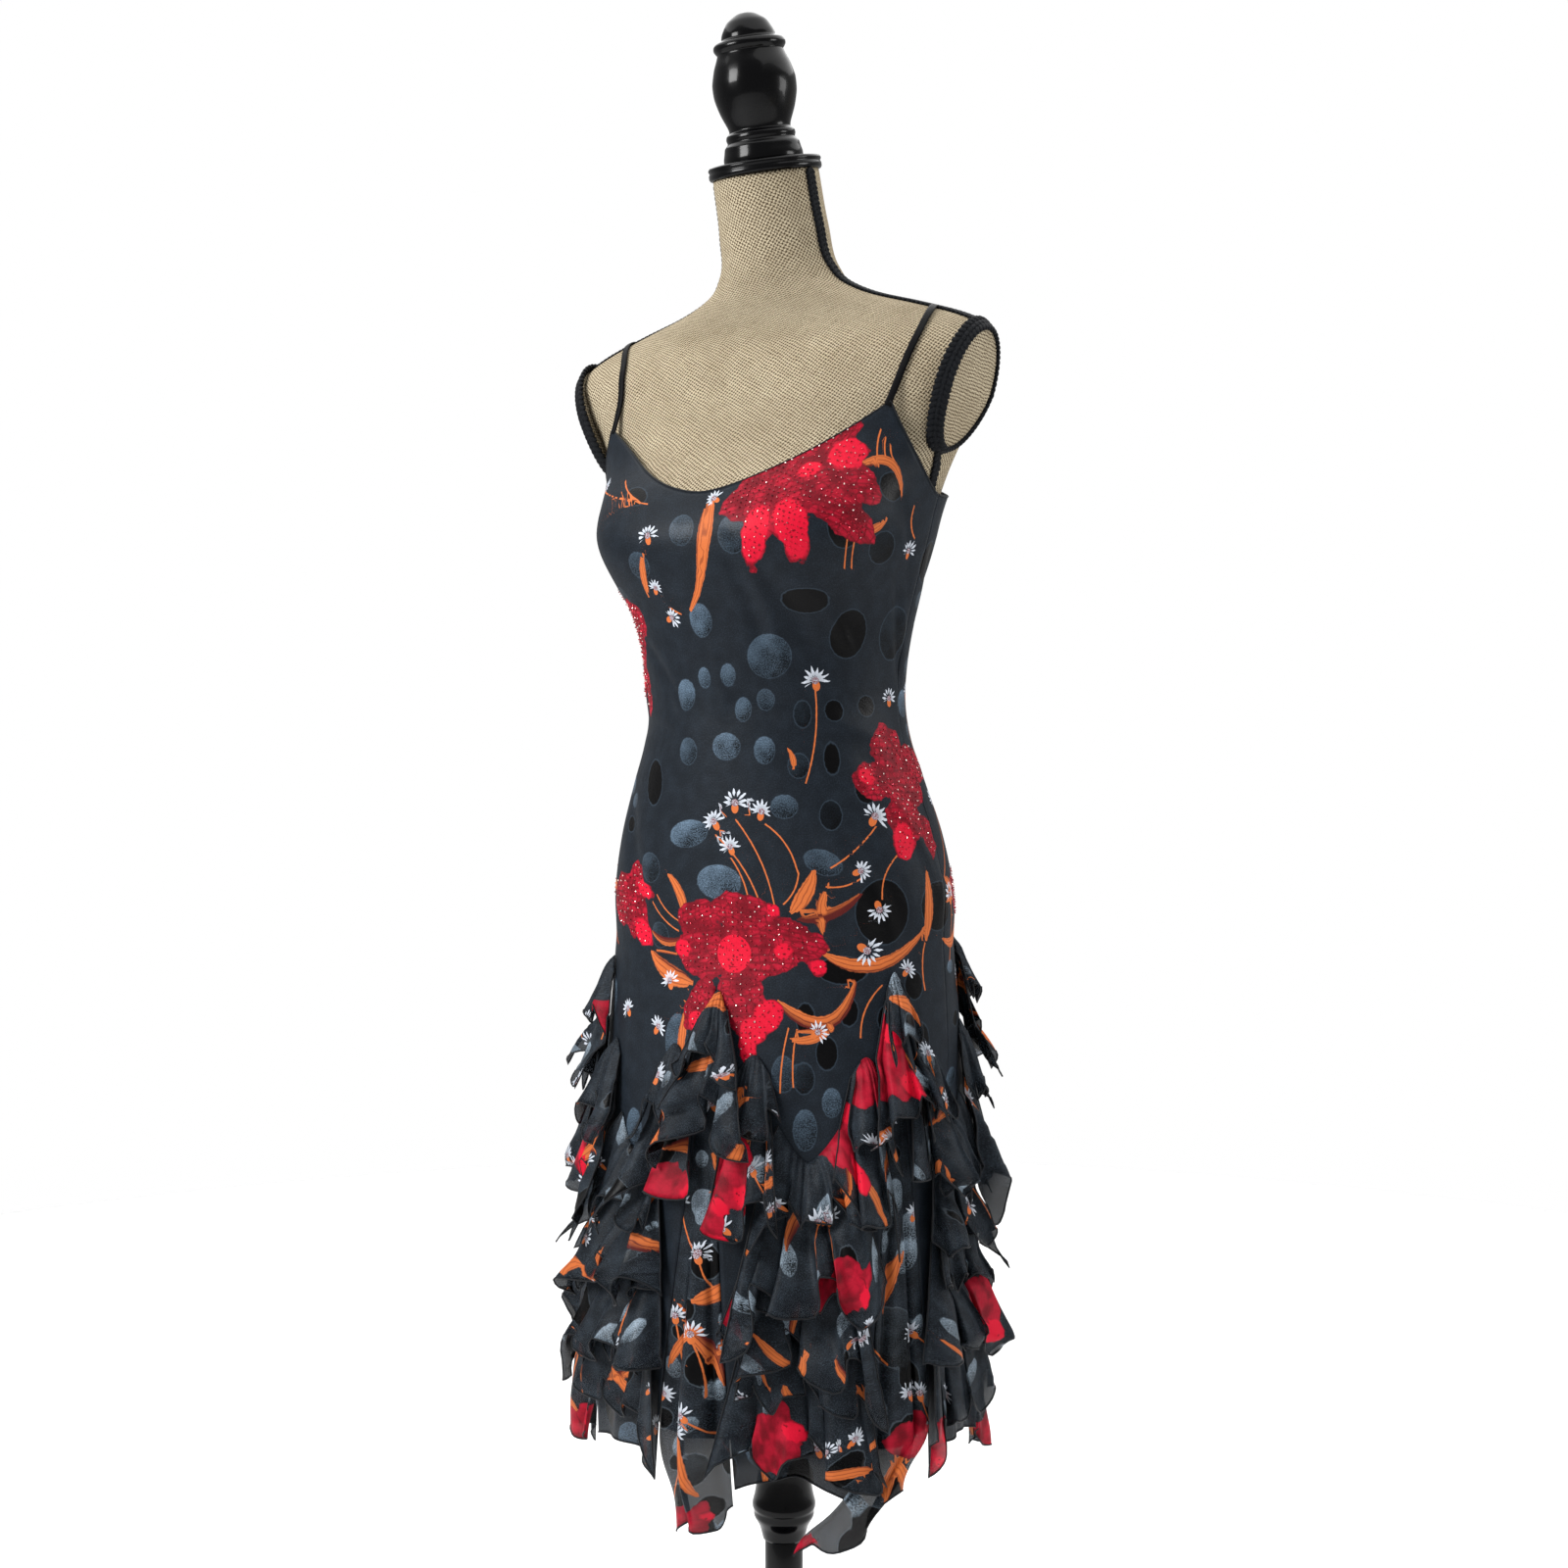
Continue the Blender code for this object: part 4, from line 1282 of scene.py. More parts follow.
@dataclass(frozen=True)
class LacquerFinish:
    """Glossy black lacquer on turned wood, with faint wear."""

    name: str = "black_lacquer_gloss"
    colour: tuple = srgb(2, 2, 3)
    worn: tuple = srgb(20, 16, 11)

    def build(self) -> Material:
        """The finish as a material.

        Returns:
            The material.
        """
        material, graph, shader = new_material(self.name)
        place = graph.object_place()
        grain = graph.noise(graph.scaled(place, (60.0, 60.0, 9.0)), 1.0, 4.0, 0.6)
        cloud = graph.noise(place, 22.0, 4.0)
        wear = (grain * cloud).ramp(0.30, 0.48, (0.0, 0.55))
        dress = {
            "Base Color": graph.mix(wear, self.colour, self.worn),
            "Roughness": cloud.ramp(0.3, 0.8, (0.16, 0.34)),
            "Coat Weight": 0.12,
            "Coat Roughness": 0.06,
            "Specular IOR Level": 0.10,
            "Normal": graph.bump(grain, 0.04, 0.0006),
        }
        graph.feed(shader, dress)
        return material


@dataclass(frozen=True)
class GlintFinish:
    """Cut glass or metal beads, with a tint that changes from bead to bead."""

    name: str
    dark: tuple
    light: tuple
    metallic: float = 0.7

    def build(self) -> Material:
        """The finish as a material.

        Returns:
            The material.
        """
        material, graph, shader = new_material(self.name)
        tint = graph.noise(graph.object_place(), 240.0, 1.0).ramp(0.35, 0.62)
        colour = graph.mix(tint, self.dark, self.light)
        graph.feed(shader, {"Base Color": colour, "Metallic": self.metallic, "Roughness": 0.16})
        return material


class Wardrobe:
    """All the finishes."""

    def __init__(self) -> None:
        """Builds each finish once."""
        effects = Effects()
        dark = (srgb(17, 22, 28), srgb(35, 43, 52), srgb(96, 116, 135))
        pale = (srgb(17, 21, 26), srgb(56, 65, 74), srgb(140, 156, 170))
        chiffon = {"roughness": 0.55, "cover": 0.975, "sheer": 0.77, "sheen": 0.02, "veins": 0.25}
        self.silk = PrintedFinish("devore_silk", *dark).build(effects)
        self.chiffon = PrintedFinish("devore_chiffon", *pale, **chiffon).build(effects)
        self.lining = PlainClothFinish(
            "lining_cloth", srgb(6, 7, 8), srgb(15, 16, 18), srgb(3, 3, 4), 0.0008, sheen=0.03, bump=0.2
        ).build(effects)
        self.satin = PlainClothFinish(
            "strap_satin", srgb(3, 3, 4), srgb(12, 12, 14), srgb(1, 1, 2), 0.0010, roughness=0.42, shine=0.06
        ).build(effects)
        self.hem = PlainClothFinish(
            "rolled_hem", srgb(8, 9, 11), srgb(26, 29, 34), srgb(4, 4, 5), 0.0012, sheen=0.05, bump=0.4
        ).build(effects)
        threads = (srgb(118, 103, 80), srgb(189, 177, 152), srgb(54, 41, 28))
        burlap = {"roughness": 0.92, "bump": 0.8, "bump_depth": 0.0009, "shine": 0.05}
        self.burlap = PlainClothFinish("burlap_weave", *threads, 0.0028, 0.9, **burlap).build(effects)
        strands = (srgb(4, 5, 7), srgb(20, 23, 28), srgb(2, 2, 3))
        braid = {"roughness": 0.55, "bump": 0.6, "bump_depth": 0.0004, "shine": 0.10}
        self.braid = PlainClothFinish("gimp_braid", *strands, 0.0009, 0.5, **braid).build(effects)
        self.lacquer = LacquerFinish().build()
        self.glints = GlintFinish("silver_beads", srgb(150, 40, 60), srgb(250, 232, 222)).build()
        self.seeds = GlintFinish("garnet_beads", srgb(70, 6, 16), srgb(190, 30, 48), 0.35).build()


def finish_piece(item: Object, cloth: Cloth, *nodes: str) -> None:
    """Puts a piece on the body.

    Args:
        item: the piece.
        cloth: its slot; not used.
        nodes: the solids that it stands for.
    """
    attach(item, BODY)
    if nodes:
        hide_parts(*nodes)
    LOG.info("%s: %d faces", item.name, len(item.data.polygons))


Profile = tuple[tuple[float, float], ...]


def profile_of(*sizes: tuple[float, float]) -> Profile:
    """A turned profile from radii and heights in millimetres, top to bottom."""
    return tuple((radius / 1000, height / 1000) for radius, height in sizes)


def smooth_profile(profile: Profile) -> Profile:
    """A turned profile with three points added between each two of its own."""
    return tuple(map(tuple, smooth_line(profile, 4 * (len(profile) - 1), 0.35)))


def turned_piece(name: str, profile: Profile, material: Material, seat: Matrix, steps: int) -> Object:
    """A turned piece, closed at both ends on its axis.

    Args:
        name: the piece's name.
        profile: radius and height pairs, top to bottom.
        material: its finish.
        seat: where its axis stands.
        steps: facets round.

    Returns:
        The object.
    """
    turns = [2 * pi * step / steps for step in range(steps)]
    points = [seat @ Vector((x * sin(turn), -x * cos(turn), z)) for x, z in profile for turn in turns]
    points += [seat @ Vector((0, 0, profile[end][1])) for end in (0, -1)]
    faces = grid_faces(len(profile) - 1, steps, True).tolist()
    top, low, start = len(points) - 2, len(points) - 1, (len(profile) - 1) * steps
    for step in range(steps):
        after = (step + 1) % steps
        faces += [[top, step, after], [low, start + after, start + step]]
    return mesh_piece(name, points, faces, material)


@dataclass(frozen=True)
class Stand:
    """The base, post and turned collar under the form, and the turned block on its neck."""

    base: Profile = profile_of(
        (0.4, 28), (28, 28), (30.2, 27), (33, 22), (37, 19), (70, 17.5), (150, 16), (171, 14), (174, 11),
        (175, 8), (175, 2.5), (172, 0),
    )
    lower_post: Profile = profile_of((16.8, 323.5), (17, 323), (17, 28.3), (16.8, 28.3))
    collar: Profile = profile_of(
        (15, 462), (16.8, 461), (18.5, 450), (17, 440), (20.5, 418), (23.2, 383), (26.2, 364), (28.2, 356),
        (28.2, 352), (27, 349), (26.8, 344), (22, 335), (19, 323.8),
    )
    upper_post: Profile = profile_of((12.3, 804.7), (12.5, 804.2), (12.5, 462.8), (12.3, 462.3))
    disc: Profile = profile_of(
        (47, 11.5), (48.8, 11.2), (49.9, 9.8), (50, 8.6), (49.2, 7.4), (49.2, 6.2), (50, 5.2), (50, 2.2),
        (49, 0.6), (47, 0.3),
    )
    finial: Profile = profile_of(
        (1.2, 136.8), (9, 134.8), (17.8, 128.8), (22.8, 119.8), (24, 115), (26.2, 113.8), (30, 112.3),
        (31.5, 109.8), (31.5, 107.3), (30, 104.8), (29, 103.3), (30.4, 99.3), (33.5, 91.8), (36.6, 79.8),
        (36.3, 67.8), (32.8, 54.8), (27.8, 42.8), (27.2, 38.6), (30, 35.8), (30.6, 32.8), (29.8, 29.6),
        (32.8, 26), (33.8, 21.8), (35, 16.8), (35, 13), (34, 11.8),
    )
    lean: float = radians(15)
    neck_y: float = -0.032
    neck_height: float = 1.534

    def build(self, wardrobe: Wardrobe) -> None:
        """Builds and dresses the turned pieces.

        Args:
            wardrobe: the finishes.
        """
        upright = Matrix.Identity(4)
        seat = Matrix.Translation((0, self.neck_y, self.neck_height)) @ Matrix.Rotation(self.lean, 4, "X")
        pieces = {
            "stand_base": (self.base, upright, 72),
            "stand_post_lower": (self.lower_post, upright, 72),
            "stand_collar": (smooth_profile(self.collar), upright, 72),
            "stand_post_upper": (self.upper_post, upright, 72),
            "neck_disc": (self.disc, seat, 96),
            "neck_finial": (smooth_profile(self.finial), seat, 96),
        }
        for name, (profile, place, steps) in pieces.items():
            item = turned_piece(name + "_turned", profile, wardrobe.lacquer, place, steps)
            finish_piece(item, Cloth.LACQUER, name)


@dataclass(frozen=True)
class DressForm:
    """The padded torso in burlap, its arm ends and the braid that covers its seams."""

    figure: FigureShape
    columns: int = 144
    rows: int = 190
    arm_half_height: float = 0.056
    arm_half_depth: float = 0.044
    arm_forward: float = 0.012
    arm_steps: int = 64
    weave_turn: float = radians(33)
    join: float = 0.00002
    seam_lift: float = 0.0010
    ring_lift: float = 0.0030
    ring_size: float = 0.99
    ring_steps: int = 96

    def build(self, wardrobe: Wardrobe) -> None:
        """Builds and dresses the form.

        Args:
            wardrobe: the finishes.
        """
        self.build_torso(wardrobe.burlap)
        for side, hand in HANDS:
            self.build_arm_end(wardrobe.burlap, side, hand)
        self.build_braid(wardrobe.braid)

    def build_torso(self, burlap: Material) -> None:
        """The torso, closed under the neck block and at the hip.

        Args:
            burlap: its finish.
        """
        shape = self.figure
        heights = np.linspace(shape.low, shape.high, self.rows + 1)[::-1]
        angles = np.linspace(-pi, pi, self.columns + 1)
        grid = shape.points(angles[None, :], heights[:, None])
        run = summed(run_of(grid[..., :2], 1), 1)
        run = run - run[:, [self.columns // 2]]
        fall = shape.high - summed(run_of(grid, 0).mean(axis=1), 0)
        flat = np.stack(np.broadcast_arrays(run, fall[:, None]), axis=-1)
        cosine, sine = cos(self.weave_turn), sin(self.weave_turn)
        flat = flat @ np.array([[cosine, sine], [-sine, cosine]])
        faces = grid_faces(self.rows, self.columns).tolist()
        points, flats = list(grid.reshape(-1, 3)), list(flat.reshape(-1, 2))
        for row, step in ((0, 1), (self.rows, -1)):
            first = row * (self.columns + 1)
            for column in range(first, first + self.columns):
                faces.append([len(points), *(column, column + 1)[::step]])
            points.append(grid[row].mean(axis=0))
            flats.append((0.0, float(fall[row])))
        item = mesh_piece("form_torso_burlap", points, faces, burlap, np.array(flats))
        weld = item.modifiers.new("side_join", "WELD")
        weld.merge_threshold = self.join
        finish_piece(item, Cloth.BURLAP, "form_torso")

    def arm_frame(self, side: int) -> tuple[Vector, Vector, Vector]:
        """The middle of an arm end, the way up it and the way out of it.

        Args:
            side: 1 for the form's left, -1 for its right.

        Returns:
            The middle and the two ways.
        """
        slope = self.figure.arm_end_slope
        middle = Vector((side * self.figure.arm_end_x, BODY_Y, self.figure.arm_end_height))
        up = Vector((side * sin(slope), 0, cos(slope)))
        return middle, up, Vector((side * cos(slope), 0, -sin(slope)))

    def arm_rim(self, turn: float, size: float) -> tuple[float, float]:
        """How far back and how far up an arm end's rim lies, its lower end drawn forward.

        Args:
            turn: the angle round the rim, from the back upwards.
            size: 1 at the rim and 0 in the middle.

        Returns:
            The two distances from the middle.
        """
        low = max(0.0, -sin(turn))
        deep = self.arm_half_depth * cos(turn) * (1 - 0.15 * low) - self.arm_forward * low**1.5
        return deep * size, self.arm_half_height * sin(turn) * size

    def build_arm_end(self, burlap: Material, side: int, hand: str) -> None:
        """The padded oval that closes the form where an arm would start.

        Args:
            burlap: its finish.
            side: 1 for the form's left, -1 for its right.
            hand: the side's name.
        """
        middle, up, out = self.arm_frame(side)
        rings = [(0.0003, 0.90), (0.0008, 0.97), (0.0022, 1.0), (0.0046, 1.0), (0.0060, 0.975)]
        rings += [(0.0068, 0.92), (0.0074, 0.70), (0.0077, 0.40), (0.0078, 0.12)]
        points, flats, steps = [], [], self.arm_steps
        for lift, size in rings:
            for step in range(steps):
                deep, tall = self.arm_rim(2 * pi * step / steps, size)
                points.append(middle + Vector((0, deep, 0)) + up * tall + out * lift)
                flats.append((deep, tall))
        faces = [face[::-side] for face in grid_faces(len(rings) - 1, steps, True)]
        last = (len(rings) - 1) * steps
        faces += [range(steps)[::-side], range(last, last + steps)[::side]]
        item = mesh_piece(f"arm_end_{hand}_burlap", points, faces, burlap, np.array(flats))
        finish_piece(item, Cloth.BURLAP, f"arm_end_{hand}")

    def seam_line(self, skin: BVHTree, angles: Array, heights: Array) -> tuple[list[Vector], list[Vector]]:
        """A line on the form's cloth.

        Args:
            skin: the form's surface.
            angles: degrees from the centre front.
            heights: heights above the floor.

        Returns:
            The line's points, and the way out of the cloth at each.
        """
        spots, ways = [], []
        for spot in self.figure.points(np.radians(angles), heights):
            seat, normal = skin.find_nearest(Vector(spot))[:2]
            spots.append(seat + normal * self.seam_lift)
            ways.append(normal)
        near = [sum(ways[max(i - 4, 0) : i + 5], Vector()).normalized() for i in range(len(ways))]
        return spots, near

    def build_braid(self, finish: Material) -> None:
        """Braid down the sides of the neck, along the shoulders, round the arm ends and down the sides.

        Args:
            finish: its finish.
        """
        tree = BraidTree().build(finish)
        graph = bpy.context.evaluated_depsgraph_get()
        skin = BVHTree.FromObject(bpy.data.objects["form_torso_burlap"], graph)
        narrow = {"Spacing": 0.0044, "Row": 0.0028, "Strand": 0.0025, "Length": 1.65}
        wide = {"Spacing": 0.0050, "Row": 0.0040, "Strand": 0.0032, "Length": 1.60}
        falls = ((1.531, 1.440, 50), (1.439, 1.402, 60), (1.401, 1.387, 40))
        shoulder = np.concatenate([np.linspace(*fall) for fall in falls])
        for side, hand in HANDS:
            middle, up, out = self.arm_frame(side)
            ring, ways = [], []
            for step in range(self.ring_steps + 1):
                deep, tall = self.arm_rim(2 * pi * step / self.ring_steps, self.ring_size)
                over = Vector((0, deep, 0)) + up * tall
                ring.append(middle + over + out * self.ring_lift)
                ways.append((over.normalized() * 0.85 + out * 0.5).normalized())
            lines = {
                "arm": (ring, ways),
                "shoulder": self.seam_line(skin, np.linspace(82, 85, len(shoulder)) * side, shoulder),
                "side": self.seam_line(skin, np.linspace(82, 87, 30) * side, np.linspace(1.284, 1.250, 30)),
            }
            for place, (line, normals) in lines.items():
                sizes = wide if place == "arm" else narrow
                item = tree_on_line(f"braid_{place}_{hand}", line, normals, tree, sizes)
                finish_piece(item, Cloth.BURLAP)


def new_tree(name: str, sizes: dict[str, float]) -> tuple[Graph, dict[str, Value], Node]:
    """A new Geometry Nodes tree's graph, what comes in by name, with default sizes, and its output node."""
    return new_group(name, {"Geometry": GEOMETRY, **sizes}, {"Geometry": GEOMETRY}, "GeometryNodeTree")


def end_tree(graph: Graph, end: Node, shape: Value, material: Material) -> NodeTree:
    """Ends a tree in Realize Instances and Set Material.

    Args:
        graph: the tree's graph.
        end: its output node.
        shape: what it has made.
        material: the finish.

    Returns:
        The tree.
    """
    solid = graph.out("GeometryNodeRealizeInstances", {0: shape})
    graph.feed(end, {0: graph.out("GeometryNodeSetMaterial", {"Geometry": solid, "Material": material})})
    return graph.tree


class BraidTree:
    """A Geometry Nodes tree that lays a gimp braid along a line: two slanted rows over a core."""

    def build(self, material: Material) -> NodeTree:
        """The tree, with the spacing, row offset and strand sizes as its inputs.

        Args:
            material: the finish.

        Returns:
            The tree.
        """
        sizes = {"Spacing": 0.0034, "Row": 0.0021, "Strand": 0.0016, "Length": 1.9}
        graph, start, end = new_tree("GimpBraid", sizes)
        curve = graph.out("GeometryNodeMeshToCurve", {0: start["Geometry"]})
        spaced = {"Curve": curve, "Length": start["Spacing"]}
        points = graph.outs(graph.node("GeometryNodeCurveToPoints", spaced, mode="LENGTH"))
        way = points["Tangent"]
        strand = graph.out("GeometryNodeMeshIcoSphere", {"Subdivisions": 2, "Radius": start["Strand"]})
        named = {"Name": "lay_normal"}
        normal = graph.out("GeometryNodeInputNamedAttribute", named, data_type="FLOAT_VECTOR")
        axes = {"primary_axis": "Z", "secondary_axis": "X"}
        facing = graph.out("FunctionNodeAxesToRotation", {0: normal, 1: way}, **axes)
        across = graph.out("ShaderNodeVectorMath", {0: normal, 1: way}, operation="CROSS_PRODUCT")
        size = graph.out("ShaderNodeCombineXYZ", {0: start["Length"], 1: 0.9, 2: 0.8})
        joined = graph.node("GeometryNodeJoinGeometry")
        for side in (1.0, 0.0, -1.0):
            turn = graph.out("FunctionNodeEulerToRotation", {0: (0.0, 0.0, side * 0.75)})
            both = graph.out("FunctionNodeRotateRotation", {0: facing, 1: turn}, rotation_space="LOCAL")
            shift = graph.out("ShaderNodeVectorMath", {0: across, 3: start["Row"] * side}, operation="SCALE")
            moved = graph.out("GeometryNodeSetPosition", {"Geometry": points["Points"], "Offset": shift})
            laid = {"Points": moved, "Instance": strand, "Rotation": both, "Scale": size}
            graph.feed(joined, {0: graph.out("GeometryNodeInstanceOnPoints", laid)})
        return end_tree(graph, end, Value(graph, joined.outputs[0]), material)


class BeadTree:
    """A Geometry Nodes tree that sets a faceted bead at each point."""

    def build(self, material: Material) -> NodeTree:
        """The tree, with the bead's radius and its unevenness as its inputs.

        Args:
            material: the finish.

        Returns:
            The tree.
        """
        graph, start, end = new_tree("SewnBeads", {"Radius": 0.0010, "Uneven": 0.3})
        uneven = start["Uneven"]
        bead = graph.out("GeometryNodeMeshIcoSphere", {"Subdivisions": 1, "Radius": start["Radius"]})
        turns = {"Max": (6.28, 6.28, 6.28), "Seed": 4}
        spin = graph.out("FunctionNodeRandomValue", turns, data_type="FLOAT_VECTOR")
        spread = {2: 1.0 - uneven, 3: uneven + 1.0, "Seed": 9}
        size = graph.out("FunctionNodeRandomValue", spread, 1, data_type="FLOAT")
        laid = {"Points": start["Geometry"], "Instance": bead, "Rotation": spin, "Scale": size}
        return end_tree(graph, end, graph.out("GeometryNodeInstanceOnPoints", laid), material)


class RollTree:
    """A Geometry Nodes tree that runs a round rolled hem along a line."""

    def build(self, material: Material) -> NodeTree:
        """The tree, with the roll's radius as its input.

        Args:
            material: the finish.

        Returns:
            The tree.
        """
        graph, start, end = new_tree("RolledHem", {"Radius": 0.0007})
        curve = graph.out("GeometryNodeMeshToCurve", {0: start["Geometry"]})
        ring = graph.out("GeometryNodeCurvePrimitiveCircle", {"Resolution": 6, "Radius": start["Radius"]})
        swept = {"Curve": curve, "Profile Curve": ring, "Fill Caps": True}
        tube = graph.out("GeometryNodeCurveToMesh", swept)
        return end_tree(graph, end, graph.out("GeometryNodeSetShadeSmooth", {"Geometry": tube}), material)


def made_plain(name: str, source: Object, tree: NodeTree, sizes: dict[str, float]) -> Object:
    """Runs a tree on an object and keeps the result as a plain mesh.

    Args:
        name: the new piece's name.
        source: the object it works on, which is removed.
        tree: the Geometry Nodes tree.
        sizes: input values by name.

    Returns:
        The new object.
    """
    modifier = source.modifiers.new("made", "NODES")
    modifier.node_group = tree
    for socket in tree.interface.items_tree:
        if socket.in_out == "INPUT" and socket.name in sizes:
            modifier[socket.identifier] = sizes[socket.name]
    graph = bpy.context.evaluated_depsgraph_get()
    mesh = bpy.data.meshes.new_from_object(source.evaluated_get(graph))
    mesh.name = name
    bpy.data.objects.remove(source)
    if not mesh.uv_layers:
        spots = np.empty(len(mesh.vertices) * 3, np.float32)
        mesh.vertices.foreach_get("co", spots)
        spots = spots.reshape(-1, 3)
        lay_flat(mesh, np.stack([spots[:, 0] + spots[:, 1], spots[:, 2]], axis=1))
    return linked(name, mesh)


def wire(name: str, points: list[Vector] | Array, edges: list[tuple[int, int]]) -> Object:
    """An object of points and edges for a tree to work on.

    Args:
        name: the name of the piece that it is for.
        points: its points.
        edges: pairs of point numbers.

    Returns:
        The object.
    """
    mesh = bpy.data.meshes.new(name + "_line")
    mesh.from_pydata([tuple(point) for point in points], edges, [])
    return linked(name + "_line", mesh)


def tree_on_line(
    name: str, line: list[Vector], normals: list[Vector], tree: NodeTree, sizes: dict[str, float]
) -> Object:
    """A piece that a tree lays along a line.

    Args:
        name: the piece's name.
        line: the line's points.
        normals: the way out of the cloth at each point.
        tree: the Geometry Nodes tree.
        sizes: input values by name.

    Returns:
        The new object.
    """
    source = wire(name, line, [(i, i + 1) for i in range(len(line) - 1)])
    layer = source.data.attributes.new("lay_normal", "FLOAT_VECTOR", "POINT")
    layer.data.foreach_set("vector", np.array([tuple(way) for way in normals], np.float32).ravel())
    return made_plain(name, source, tree, sizes)


@dataclass(frozen=True)
class Spot:
    """A motif on the dress, by angle in degrees and height."""

    angle: float
    height: float
    wide: float = 0.012
    tall: float = 0.012
    tone: float = 0.5
    turn: float = 0.0
    size: float = 1.0


@dataclass(frozen=True)
class Blade:
    """A leaf or stem on the dress, from its foot to its tip."""

    angle: float
    height: float
    to_angle: float
    to_height: float
    half: float = 0.005
    bend: float = 0.0
    dark: float = 0.2


@dataclass(frozen=True)
class Bloom:
    """A red bloom on the body of the dress, with its lobes and the radius of its disc in millimetres."""

    angle: float
    height: float
    lobes: tuple[Lobe, ...]
    turn: float = 0.0
    disc: float = 0.0


BODY_RADIUS = 0.135
MARK_GAP = 0.004
OVAL = "angle height wide tall tone turn"
DAISY = "angle height wide turn"
LEAF = "angle height to_angle to_height half bend dark"
STEM = "angle height to_angle to_height bend"
RED = "angle height size turn"
LOBE = "x y long_half short_half turn bright"
BIG_BLOOM = table(
    Lobe, LOBE,
    (-38, 30, 22, 14, 20), (6, 36, 30, 15, -8), (46, 14, 34, 17, -12), (-26, 2, 30, 24, 10), (20, 8, 40, 28),
    (-32, -42, 13, 24, -28), (8, -34, 20, 32, 8), (16, -72, 8, 22, 4, True), (34, -50, 15, 13, 30, True),
    (-34, -58, 9, 9, 0, True), (24, -62, 9, 12, 0, True), (44, 4, 9, 7, 20, True), (74, -8, 8, 7, 0, True),
    (36, 38, 7, 6, 0, True), (-52, 2, 9, 8, 0, True),
)
NECK_BLOOM = table(
    Lobe, LOBE,
    (0, -2, 40, 25, 24), (-42, -14, 28, 18, 8), (-38, -40, 12, 21, -18, True), (-8, -38, 14, 22, 22, True),
    (30, -22, 26, 17, -12), (34, 30, 18, 15, 40, True), (-30, 4, 26, 15, 14), (-2, 24, 27, 15, 30),
    (20, 46, 24, 15, 58), (4, 12, 12, 8, 40, True), (46, 4, 14, 16, 20), (-18, -26, 12, 18, 4),
    (28, 60, 17, 10, 62), (16, 58, 12, 7, 60, True), (36, 62, 17, 9, 74),
)
SIDE_BLOOM = table(
    Lobe, LOBE,
    (0, 32, 20, 20), (-22, 4, 19, 17), (10, 0, 24, 26), (2, -30, 20, 20), (-4, -50, 10, 18, 0, True),
    (24, -44, 10, 22, 14), (-28, 8, 8, 8, 0, True), (30, 20, 20, 18),
)
SMALL_BLOOM = table(
    Lobe, LOBE,
    (0, 0, 18, 30), (-22, 4, 24, 24), (16, 14, 14, 8, -20, True), (12, -24, 16, 10, -35, True),
    (4, 26, 10, 14, 10),
)


